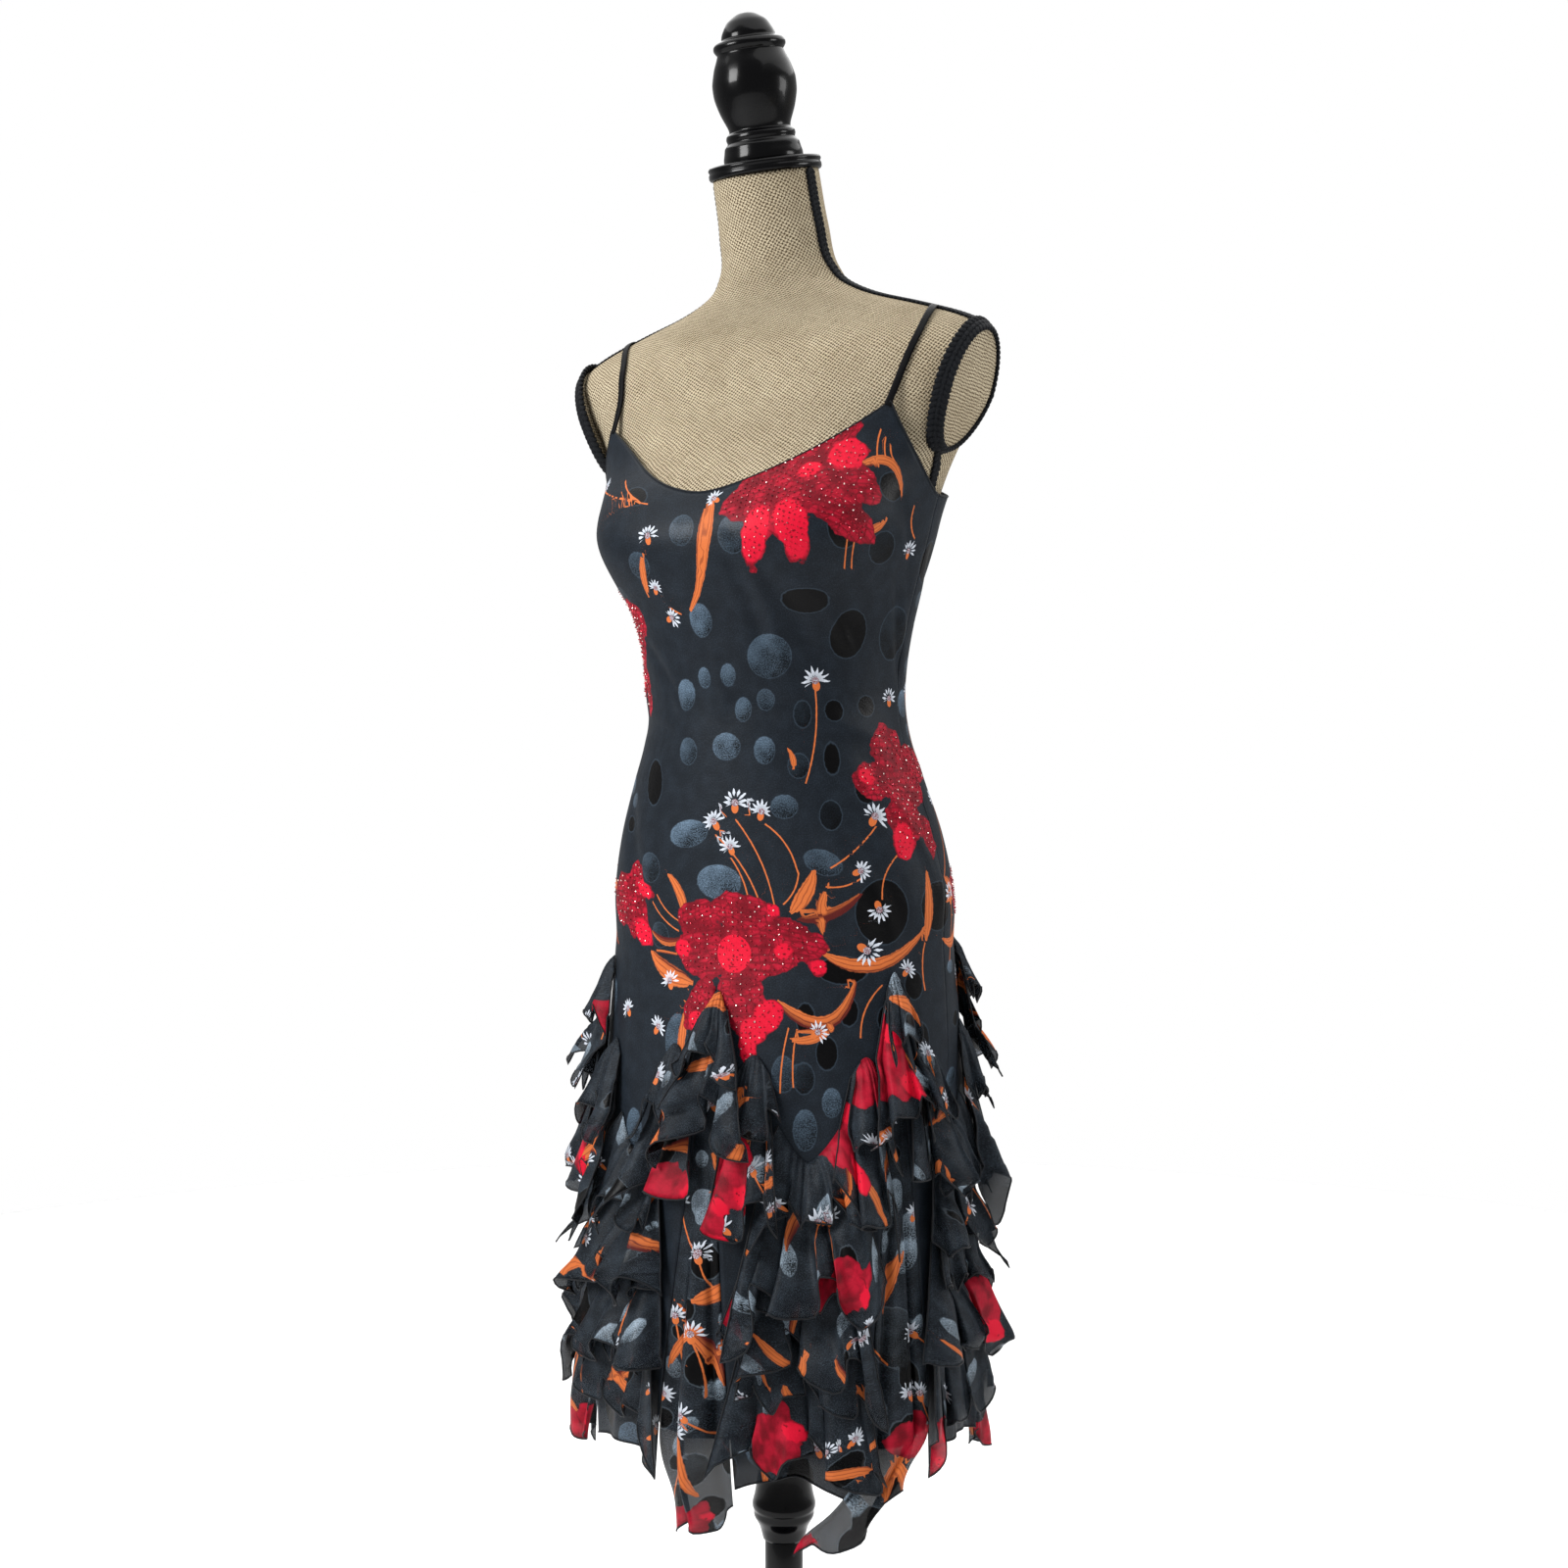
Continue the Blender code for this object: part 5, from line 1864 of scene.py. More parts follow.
@dataclass(frozen=True)
class BodyPrint:
    """The print of the body: ovals, blooms, leaves, stems and daisies by angle and height."""

    dress: DressShape
    # The listed ovals' tones are partly their own satin or velvet and partly painted sheen: ovals on the
    # form's right front, which faces the key light, are lighter.
    ovals: tuple[Spot, ...] = table(
        Spot, OVAL,
        (-4.3, 1211, 12, 13, 0.35), (13, 1205, 14, 16, 0.3), (-22.5, 1184, 12, 12, 0.35),
        (37.5, 1151, 20, 11.5, 0), (56.4, 1125, 17, 21, 0, 10), (80.8, 1127, 18, 23, 0.1),
        (24.9, 1106, 18.5, 18.5, 0.45), (-2.2, 1137, 10.5, 14.5, 0.75), (-14.2, 1075, 10.5, 13.5, 0.85, 15),
        (-3.4, 1089, 6.5, 9, 0.7), (7.6, 1091, 6.5, 9.5, 0.6), (13.1, 1062, 7, 10, 0.6),
        (22.7, 1070, 7.5, 9, 0.4), (5.3, 1031, 13, 11.5, 0.8), (20.9, 1028, 9, 11.5, 0.65),
        (-12.8, 1027, 10, 11.5, 0.45), (-31.6, 1000, 12.5, 20, 0), (37.6, 1058, 7.5, 11.5, 0.1),
        (51.2, 1061, 8.5, 9, 0), (67.3, 1065, 9, 9, 0), (33.1, 1015, 9, 10.5, 0.15), (47, 1021, 7, 14, 0),
        (58, 996, 10, 13, 0), (25.3, 981, 11.5, 10, 0.5), (41.4, 974, 9.5, 12.5, 0.05),
        (-10.9, 957, 21, 11.5, 0.9, -10), (0.7, 917, 21.5, 14.5, 0.9), (-28.8, 926, 14, 13, 0.3),
        (36, 935, 16.5, 10, 0.4, 20), (55.5, 894, 23, 27, 0), (41, 846, 21, 11.5, 0), (69, 832, 9, 12, 0),
        (56.6, 805, 8, 12, 0), (71.5, 787, 9, 14, 0), (-13.6, 782, 13, 21, 0.5), (22.7, 760, 10, 15, 0.3),
        (-24, 1245, 16, 9, 0, 25), (46, 1212, 16, 20, 0), (62, 1195, 15, 14, 0.05),
        (-44, 1160, 11, 12, 0.2), (-24, 868, 12, 11, 0.2), (60, 1245, 13, 12, 0), (30, 715, 10, 17, 0.5),
        (33, 660, 12, 18, 0.4), (-32, 700, 11, 17, 0.6), (29, 806, 8, 13, 0), (36, 778, 9, 14, 0),
        (43, 812, 8, 12, 0), (29, 757, 9, 13, 0.1), (38, 738, 8, 12, 0.6), (10, 440, 11, 14, 0),
        (18, 456, 8, 12, 0.8), (31, 434, 12, 15, 0), (44, 442, 9, 13, 0.6), (-18, 447, 12, 16, 0),
        (-30, 436, 10, 13, 0.7), (-40, 452, 12, 15, 0), (68, 442, 11, 14, 0), (80, 434, 9, 12, 0.6),
        (24, 478, 10, 13, 0.1),
    )
    daisies: tuple[Spot, ...] = table(
        Spot, DAISY,
        (-16.3, 1208, 11, -10), (-19, 1165, 9, 20), (-16, 1140, 10, 70), (43.5, 1086, 12.5, -12),
        (82, 1072, 10, 0), (-0.6, 968, 12, -35), (7.7, 984, 12.5, 0), (17.1, 977, 11, 10),
        (5.3, 947, 10.5, -20), (58.7, 973, 13, 30), (48.5, 928, 10, 70), (54, 896, 11, 160),
        (49.7, 862, 13, 120), (78, 1195, 10, 0), (-50, 1262, 10, 30), (5, 1236, 9, -60),
        (-18, 830, 11, -20), (-22, 790, 11, 30), (66, 845, 9, 40), (-40, 800, 11, -40), (36, 458, 11, -30),
        (-12, 462, 11, 20), (-35, 470, 11, -30), (33, 795, 10, 50),
    )
    blades: tuple[Blade, ...] = table(
        Blade, LEAF,
        (4.4, 1239, -9.5, 1134, 4.4, -14, 0.15), (3, 1232, -1.5, 1160, 4.8, -5, 0.25),
        (-24, 1158, -18, 1200, 4, -3, 0.15), (40, 1236, 52, 1262, 7.5, -12, 0.75),
        (46, 1262, 66, 1236, 4.5, -16, 0.1), (50, 1208, 61, 1222, 4.2, 6, 0.1),
        (24, 893, 33, 932, 7.2, 4, 0.1), (26, 888, 50, 914, 5.2, 8, 0.85), (36, 912, 35, 872, 4.5, 4, 0.3),
        (34, 860, 76, 880, 6.2, 20, 0.3), (76.4, 868, 78.5, 930, 5.2, 2, 0.15),
        (20, 820, 46, 842, 6.2, 30, 0.55), (25, 788, 39, 802, 4, 5, 0.1), (-12, 884, -21, 925, 5.2, 6, 0.2),
        (-8.5, 830, -29, 856, 8.8, -6, 0.35), (-12, 868, -30, 874, 4, -8, 0.7),
        (-10, 812, -11, 748, 4.6, 3, 0.15), (31, 1012, 30, 1030, 2.8, 2, 0.1),
        (26, 474, 21, 424, 6, 6, 0.2), (-25, 476, -17, 426, 6, -6, 0.3), (50, 466, 57, 418, 6, 5, 0.2),
        (-47, 470, -52, 425, 6, 5, 0.2),
    )
    stems: tuple[Blade, ...] = table(
        Blade, STEM,
        (34.4, 1000, 43.5, 1078, 4), (19.5, 888, 7.7, 970, 7), (27, 930, 17.1, 968, 5),
        (15.5, 890, -0.6, 958, 7), (11, 898, 5.3, 938, 3), (38, 930, 58.7, 966, 3), (22, 900, 27.5, 926, 3),
        (36, 915, 48.5, 922, 3), (68, 945, 55, 904, 6), (47, 1232, 49, 1176, 4), (50, 1212, 52, 1174, 3),
        (24, 800, 22, 745, 2), (26.5, 798, 26, 748, 2), (-18, 1236, -50, 1258, -6),
        (-20, 1236, -46, 1240, 5), (-22, 1240, -34, 1266, -4), (-24, 1236, -44, 1220, 3),
        (47, 1296, 53, 1258, 3), (50, 1290, 56.5, 1260, 3), (53, 1282, 60, 1262, 3), (76, 868, 75, 825, 3),
        (-25, 905, -13, 880, 4), (-28, 900, -14, 872, 4), (74, 1235, 80, 1205, 6),
        (-16, 1150, -10, 1142, 1), (56, 835, 47, 790, 6),
    )
    blooms: tuple[Bloom, ...] = table(
        Bloom, "angle height lobes turn disc",
        (30.7, 1248, NECK_BLOOM), (5.5, 857, BIG_BLOOM, 0, 16), (74.2, 1000, SIDE_BLOOM),
        (-58, 1128, SIDE_BLOOM, 10), (-38.5, 892, SMALL_BLOOM), (150, 1170, NECK_BLOOM, 40),
        (196, 880, BIG_BLOOM, -15, 16), (250, 1060, SIDE_BLOOM, 20), (122, 915, SMALL_BLOOM, -30),
        (225, 1215, SMALL_BLOOM, 80), (276, 900, SMALL_BLOOM, 25),
    )
    seen_blooms: int = 5
    oval_room: float = 0.02
    bloom_room: float = 0.06
    probe_turn: float = 0.01
    probe_rise: float = 0.005

    def frame_at(self, angle: float, height: float, turn: float = 0.0) -> tuple[Array, Array, Array]:
        """A place on the dress, with the directions right and up along the cloth.

        Args:
            angle: the angle round the body, in degrees.
            height: the height above the floor.
            turn: how far the two directions are turned, in degrees.

        Returns:
            The place and the two directions.
        """
        angles = radians(angle) + np.array([0.0, self.probe_turn, 0.0])
        heights = height + np.array([0.0, 0.0, self.probe_rise])
        here, aside, above = self.dress.points(angles, heights, 0.0, True)
        right, up = aside - here, above - here
        right = right / np.linalg.norm(right)
        up = up - right * (up @ right)
        up = up / np.linalg.norm(up)
        return here, *swung(right, up, radians(turn))

    def line_mark(self, kind: Motif, blade: Blade) -> Mark:
        """A leaf or stem from its foot to its tip.

        Args:
            kind: leaf or stem.
            blade: its two ends and its sizes.

        Returns:
            The mark.
        """
        here, right, up = self.frame_at(blade.angle, blade.height)
        away = self.frame_at(blade.to_angle, blade.to_height)[0] - here
        across, along = float(away @ right), float(away @ up)
        right, up = swung(right, up, atan2(across, along))
        path = bent_path(hypot(across, along), blade.bend)
        return Mark(kind, here, right, up, (blade.half, blade.half), blade.dark, path)

    def hidden_marks(self) -> tuple[list[Spot], list[Spot], list[Blade], list[Blade]]:
        """Motifs of the same kinds on the sides that the picture doesn't show, a set distance apart.

        Returns:
            The ovals, daisies, leaves and stems.
        """
        dice = random.Random(11)
        taken = [(spot.angle, spot.height, self.oval_room) for spot in self.ovals]
        taken += [(bloom.angle, bloom.height, self.bloom_room) for bloom in self.blooms]
        ovals, daisies, blades, stems = [], [], [], []
        for _ in range(900):
            angle, height = dice.uniform(84, 312), dice.uniform(0.50, 1.225)
            size = dice.choice((0.008, 0.010, 0.013, 0.017, 0.021))
            if any(self.apart(angle, height, other) < size + other[2] + MARK_GAP for other in taken):
                continue
            taken.append((angle, height, size))
            tone = dice.choice((0.0, 0.1, 0.45, 0.8))
            tall = size * dice.uniform(0.65, 1.2)
            ovals.append(Spot(angle, height, size, tall, tone, dice.uniform(-40, 40)))
        for _ in range(26):
            angle, height = dice.uniform(88, 305), dice.uniform(0.72, 1.20)
            lean = dice.uniform(-12, 12)
            daisies.append(Spot(angle, height, dice.uniform(0.009, 0.0125), turn=-lean * 3))
            foot = height - dice.uniform(0.05, 0.09)
            bend = dice.uniform(-0.006, 0.006)
            stems.append(Blade(angle - lean, foot, angle, height - 0.006, bend=bend))
        for bloom in self.blooms[self.seen_blooms :]:
            for side in (-1, 1, -1, 1, -1):
                foot = bloom.angle + side * dice.uniform(10, 16), bloom.height + dice.uniform(-0.03, 0.03)
                tip = bloom.angle + side * dice.uniform(24, 36), bloom.height + dice.uniform(-0.05, 0.05)
                half, bend = dice.uniform(0.004, 0.008), dice.uniform(-0.02, 0.02)
                blades.append(Blade(*foot, *tip, half, bend, dice.choice((0.1, 0.3, 0.8))))
        return ovals, daisies, blades, stems

    @staticmethod
    def apart(angle: float, height: float, other: tuple[float, float, float]) -> float:
        """The distance over the cloth between a place and another."""
        return hypot(radians((angle - other[0] + 180) % 360 - 180) * BODY_RADIUS, height - other[1])

    def marks(self) -> list[Mark]:
        """Every motif of the body as a mark on the dress.

        Returns:
            The marks.
        """
        ovals, daisies, blades, stems = self.hidden_marks()
        found = []
        for spot in (*self.ovals, *ovals):
            place = self.frame_at(spot.angle, spot.height, spot.turn)
            found.append(Mark(Motif.OVAL, *place, (spot.wide, spot.tall), spot.tone))
        found += [self.line_mark(Motif.STEM, blade) for blade in (*self.stems, *stems)]
        found += [self.line_mark(Motif.LEAF, blade) for blade in (*self.blades, *blades)]
        for spot in (*self.daisies, *daisies):
            place = self.frame_at(spot.angle, spot.height, spot.turn)
            found.append(Mark(Motif.DAISY, *place, (spot.wide, spot.wide)))
        for bloom in self.blooms:
            place = self.frame_at(bloom.angle, bloom.height, bloom.turn)
            found.append(Mark(Motif.BLOOM, *place, lobes=bloom.lobes, disc=bloom.disc))
        return found


@dataclass
class Bodice:
    """The front and back of the dress from the upper edge to the hem, with the godets set into them."""

    dress: DressShape
    printed: BodyPrint
    step: float = radians(1.5)
    rows_above: int = 104
    rows_below: int = 92
    godet_columns: int = 26
    seam_gap: float = 0.0012
    shell: float = 0.0007
    flat_radius: float = 0.14
    cut_radius: float = 0.160
    sheer_rise: float = 0.040
    sheer_fade: float = 0.035
    red_inset: float = 2.0
    hem_drift: tuple[float, ...] = (0.45, -1.35, 0.30, -0.35, 0.40, -0.30)
    hem_taper: tuple[float, ...] = (0.42, -0.15, 0.42, 0.30, 0.42, 0.30)
    godet_rows: tuple[float, float, float] = (1.06, 1.90, 2.0)
    godet_loose: float = 1.84
    godet_drop: float = 1.5
    godet_fold: float = 1.25
    godet_sheer: float = 1.76
    godet_waves: float = 1.8
    hem_wave: float = 0.007
    fold_turn: float = 0.030
    fold_swell: float = 0.0080
    fine_swell: float = 0.0028
    drift_swell: float = 0.012
    largest_red: float = 0.6
    surfaces: list[tuple[Array, Array]] = field(default_factory=list)
    red_spots: list[Array] = field(default_factory=list)
    hems: list[list[Vector]] = field(default_factory=list)

    def row_height(self, angles: Array, row: float) -> Array:
        """The height of a row, 0 at the upper edge, 1 at the godet tips and 2 at the hem.

        Args:
            angles: angles round the body.
            row: the row.

        Returns:
            The height at each angle.
        """
        top, tip = self.dress.top_edge(angles), self.dress.godet_tip(angles)
        if row <= 1:
            return top + (tip - top) * row
        return tip + (self.dress.gore_hem(angles) - tip) * (row - 1)

    def build(self, wardrobe: Wardrobe) -> None:
        """Builds and dresses the two panels and the godets.

        Args:
            wardrobe: the finishes.
        """
        marks = self.printed.marks()
        panels = {"front_body": (-90, -60, 0, 60, 90), "back_body": (90, 120, 180, 240, 270)}
        for name, seams in panels.items():
            self.build_panel(name, [radians(seam) for seam in seams], marks, wardrobe.silk)
        for number in range(6):
            self.build_godet(number, wardrobe.chiffon)

    def strip_points(self, seams: list[float], strip: int) -> tuple[Array, Array]:
        """The points of a panel between two of its seams, parted below where a godet stands.

        Args:
            seams: the angles of the panel's side edges and of the godets between them.
            strip: which seam it starts at.

        Returns:
            The points and their flat places, by row and column.
        """
        columns = round((seams[strip + 1] - seams[strip]) / self.step)
        share = np.linspace(0, 1, columns + 1)
        rows = [*np.linspace(0, 1, self.rows_above + 1), *np.linspace(1, 2, self.rows_below + 1)[1:]]
        grid, flat = [], []
        for row in rows:
            parted = (row - 1) * self.dress.godet_half + self.seam_gap if row > 1 else 0.0
            left = seams[strip] + (parted if strip else self.seam_gap)
            right = seams[strip + 1] - (parted if strip < len(seams) - 2 else self.seam_gap)
            angles = left + (right - left) * share
            heights = self.row_height(angles, row)
            grid.append(self.dress.points(angles, heights))
            flat.append(np.stack([angles * self.flat_radius, heights], axis=-1))
        return np.array(grid), np.array(flat)

    def build_panel(self, name: str, seams: list[float], marks: list[Mark], silk: Material) -> None:
        """One panel, whole above the godet tips and parted below where the godets stand.

        Args:
            name: the solid that the panel stands for.
            seams: the angles of its side edges and of the godets between them.
            marks: the print.
            silk: its finish.
        """
        points, flats, faces = [], [], []
        start, joined, previous = 0, self.rows_above + 1, np.empty(0, int)
        for strip in range(len(seams) - 1):
            grid, flat = self.strip_points(seams, strip)
            self.hems.append([Vector(spot) for spot in grid[-1]])
            count = flat[..., 0].size
            numbers = start + np.arange(count).reshape(flat.shape[:2])
            if strip:
                numbers[:joined, 0] = previous[:joined]
            previous = numbers[:, -1]
            points.append(grid.reshape(-1, 3))
            flats.append(flat.reshape(-1, 2))
            quads = [numbers[:-1, :-1], numbers[1:, :-1], numbers[1:, 1:], numbers[:-1, 1:]]
            faces.append(np.stack(quads, axis=-1).reshape(-1, 4))
            start += count
        used, faces = np.unique(np.concatenate(faces), return_inverse=True)
        faces = faces.reshape(-1, 4)
        points, flats = np.concatenate(points)[used], np.concatenate(flats)[used]
        values = PrintField(points, marks)
        level = self.dress.gore_hem(flats[:, 0] / self.flat_radius)
        values.lobe[:, 2] = smooth_step((level + self.sheer_rise - flats[:, 1]) / self.sheer_fade)
        item = mesh_piece(name + "_silk", points, faces, silk, flats, values.attributes())
        self.surfaces.append((points, faces))
        self.keep_red(points, faces, values.bloom)
        thicken(item, self.shell)
        size = ((seams[-1] - seams[0]) * self.cut_radius, float(np.ptp(points[:, 2])))
        area = min(quad_area(*(points[corner] for corner in faces.T)), size[0] * size[1])
        finish_piece(item, Cloth.SILK, name)

    def keep_red(self, points: Array, faces: Array, bloom: Array) -> None:
        """Keeps the faces that lie in a bloom, for the beads.

        Args:
            points: the panel's points.
            faces: its faces.
            bloom: how far each point is outside a bloom, in millimetres, with two values more.
        """
        middle = bloom[faces].mean(axis=1)
        inside = middle[:, 0] < -self.red_inset
        corners = points[faces[inside]]
        normal = np.cross(corners[:, 1] - corners[:, 0], corners[:, 3] - corners[:, 0])
        normal = normal / np.linalg.norm(normal, axis=1)[:, None]
        spots = corners.mean(axis=1) + normal * self.shell
        self.red_spots.append(np.concatenate([spots, middle[inside, 2:3]], axis=1))

    def build_godet(self, number: int, chiffon: Material) -> None:
        """A wedge between two gores, hanging lower than they do at its corners.

        Args:
            number: which godet, from the centre front towards the form's left.
            chiffon: its finish.
        """
        seam, hem, columns = GODET_STEP * number, self.dress.hems[number], self.godet_columns
        drift, tip = self.hem_drift[number], self.dress.godet_tip(seam)
        share = np.linspace(0, 1, columns + 1)
        wanted = hem.near_corner + 1.7 * (hem.far_corner - hem.near_corner) * share
        wanted = wanted + self.hem_wave * np.sin(share * pi * 2.4 + number)
        wave = 2 * pi * self.godet_waves * share + 1.3 * number
        first, near_hem, last = self.godet_rows
        rows = np.concatenate([np.linspace(first, near_hem, 96), np.linspace(near_hem, last, 12)[1:]])
        grid, flat = [], []
        for row in rows:
            half = (row - 1) * self.dress.godet_half - self.seam_gap
            loose = float(smooth_step((row - self.godet_loose) / 0.16))
            held = 1 - self.hem_taper[number] * loose
            angles = seam + half * ((2 * share - 1) * held + drift * loose)
            drop = smooth_step((row - self.godet_drop) / 0.5)
            heights = self.row_height(angles, row) * (1 - drop) + (tip + (wanted - tip) * (row - 1)) * drop
            fold = smooth_step((row - self.godet_fold) / 0.65) * np.sin(pi * share)
            angles = angles + self.fold_turn * fold * np.sin(wave)
            fine = self.fine_swell * fold * np.cos(2.3 * wave + number)
            swell = self.fold_swell * fold * np.cos(wave) + fine + self.drift_swell * abs(drift) * loose
            grid.append(self.dress.points(angles, heights) + outward_of(angles) * swell[:, None])
            flat.append(np.stack([angles * self.cut_radius, heights], axis=-1))
        grid, flats = np.array(grid), np.concatenate(flat)
        points = grid.reshape(-1, 3)
        marks = ScatterPrint(40 + number).on_sheet(flats, 26, 8, 7, 0)
        marks += SkirtPrint().placed(self.dress, points, flats, self.largest_red)
        values = PrintField(flats, marks)
        values.lobe[:, 2] = np.repeat(smooth_step((rows - self.godet_sheer) / 0.16), columns + 1)
        faces = grid_faces(len(rows) - 1, columns)
        name = f"godet_{number + 1}"
        item = mesh_piece(name + "_chiffon", points, faces, chiffon, flats, values.attributes())
        self.surfaces.append((points, faces))
        self.hems.append([Vector(spot) for spot in grid[-1]])
        thicken(item, self.shell)
        size, area = cut_size(grid)
        finish_piece(item, Cloth.CHIFFON, name)


def flat_mark(
    kind: Motif,
    spot: tuple[float, float],
    turn: float,
    sizes: tuple[float, float] = (0.01, 0.01),
    tone: float = 0.0,
    path: Array | None = None,
    lobes: tuple[Lobe, ...] = (),
) -> Mark:
    """A mark at a spot in a sheet's flat plane, turned by an angle in degrees."""
    right, up = swung(np.array([1.0, 0.0, 0.0]), np.array([0.0, 1.0, 0.0]), radians(turn))
    return Mark(kind, np.array([*spot, 0.0]), right, up, sizes, tone, path, lobes)


@dataclass(frozen=True)
class ScatterPrint:
    """Scatters motifs on a flat sheet, the same each time for a seed."""

    seed: int

    @staticmethod
    def somewhere(dice: random.Random, low: Array, high: Array) -> tuple[float, float]:
        """A random place in a rectangle."""
        return dice.uniform(low[0], high[0]), dice.uniform(low[1], high[1])

    def on_sheet(self, flats: Array, ovals: int, daisies: int, leaves: int, blooms: int) -> list[Mark]:
        """Marks spread over a sheet.

        Args:
            flats: the sheet's flat places, which give its extent.
            ovals: how many ovals at most.
            daisies: how many daisies.
            leaves: how many leaves.
            blooms: how many red patches.

        Returns:
            The marks in the sheet's own plane.
        """
        dice = random.Random(self.seed)
        low, high = flats.min(axis=0), flats.max(axis=0)
        found, taken = [], []
        for _ in range(ovals * 4):
            size = dice.choice((0.007, 0.009, 0.011, 0.015))
            spot = self.somewhere(dice, low, high)
            near = any(hypot(spot[0] - x, spot[1] - y) < size + room + MARK_GAP for x, y, room in taken)
            if near or len(taken) >= ovals:
                continue
            taken.append((*spot, size))
            turn, wide = dice.uniform(-40, 40), size * dice.uniform(0.6, 0.9)
            tone = dice.choice((0.0, 0.0, 0.6, 1.0, 1.0))
            found.append(flat_mark(Motif.OVAL, spot, turn, (wide, size), tone))
        for _ in range(daisies):
            spot = self.somewhere(dice, low, high)
            turn = dice.uniform(-60, 60)
            found.append(flat_mark(Motif.DAISY, spot, turn, (dice.uniform(0.009, 0.012),) * 2))
            path = bent_path(dice.uniform(0.03, 0.06), dice.uniform(-0.006, 0.006)) + (0, 5.0)
            found.append(flat_mark(Motif.STEM, spot, turn + 180, path=path))
        for _ in range(leaves):
            spot = self.somewhere(dice, low, high)
            path = bent_path(dice.uniform(0.04, 0.08), dice.uniform(-0.012, 0.012))
            turn, half = dice.uniform(-150, 150), dice.uniform(0.004, 0.0075)
            tone = dice.choice((0.1, 0.2, 0.6))
            found.append(flat_mark(Motif.LEAF, spot, turn, (half, half), tone, path))
        for _ in range(blooms):
            spot = self.somewhere(dice, low - (0, 0.01), high)
            turn = dice.uniform(-90, 90)
            found.append(flat_mark(Motif.BLOOM, spot, turn, lobes=SMALL_BLOOM))
        return found


@dataclass(frozen=True)
class Lining:
    """The dark under-skirt that shows through the sheer hem."""

    dress: DressShape
    top: float = 0.788
    hem: float = 0.458
    columns: int = 180
    rows: int = 60
    shell: float = 0.0006
    tuck: float = 0.0021
    hem_tuck: float = 0.012
    fold: float = 0.0018
    hem_wave: float = 0.003
    flat_radius: float = 0.15

    def build(self, wardrobe: Wardrobe) -> None:
        """Builds and dresses the lining.

        Args:
            wardrobe: the finishes.
        """
        angles = np.linspace(0, 2 * pi, self.columns + 1)[:-1]
        share = np.linspace(0, 1, self.rows + 1)[:, None]
        heights = self.top + (self.hem - self.top) * share + self.hem_wave * share * np.sin(5 * angles)
        folds = self.fold * share * np.sin(23 * angles + 1.7 * np.sin(4 * angles))
        tuck = self.tuck + self.hem_tuck * share + folds
        grid = self.dress.points(angles, heights, 0.0, True) - outward_of(angles) * tuck[..., None]
        flats = np.stack(np.broadcast_arrays(angles * self.flat_radius, grid[..., 2]), axis=-1)
        faces = grid_faces(self.rows, self.columns, True)
        item = mesh_piece("lining_skirt_cloth", grid, faces, wardrobe.lining, flats)
        thicken(item, self.shell)
        size, area = cut_size(np.concatenate([grid, grid[:, :1]], axis=1))
        finish_piece(item, Cloth.LINING, "lining_skirt")


SKIRT_RADIUS = 0.17


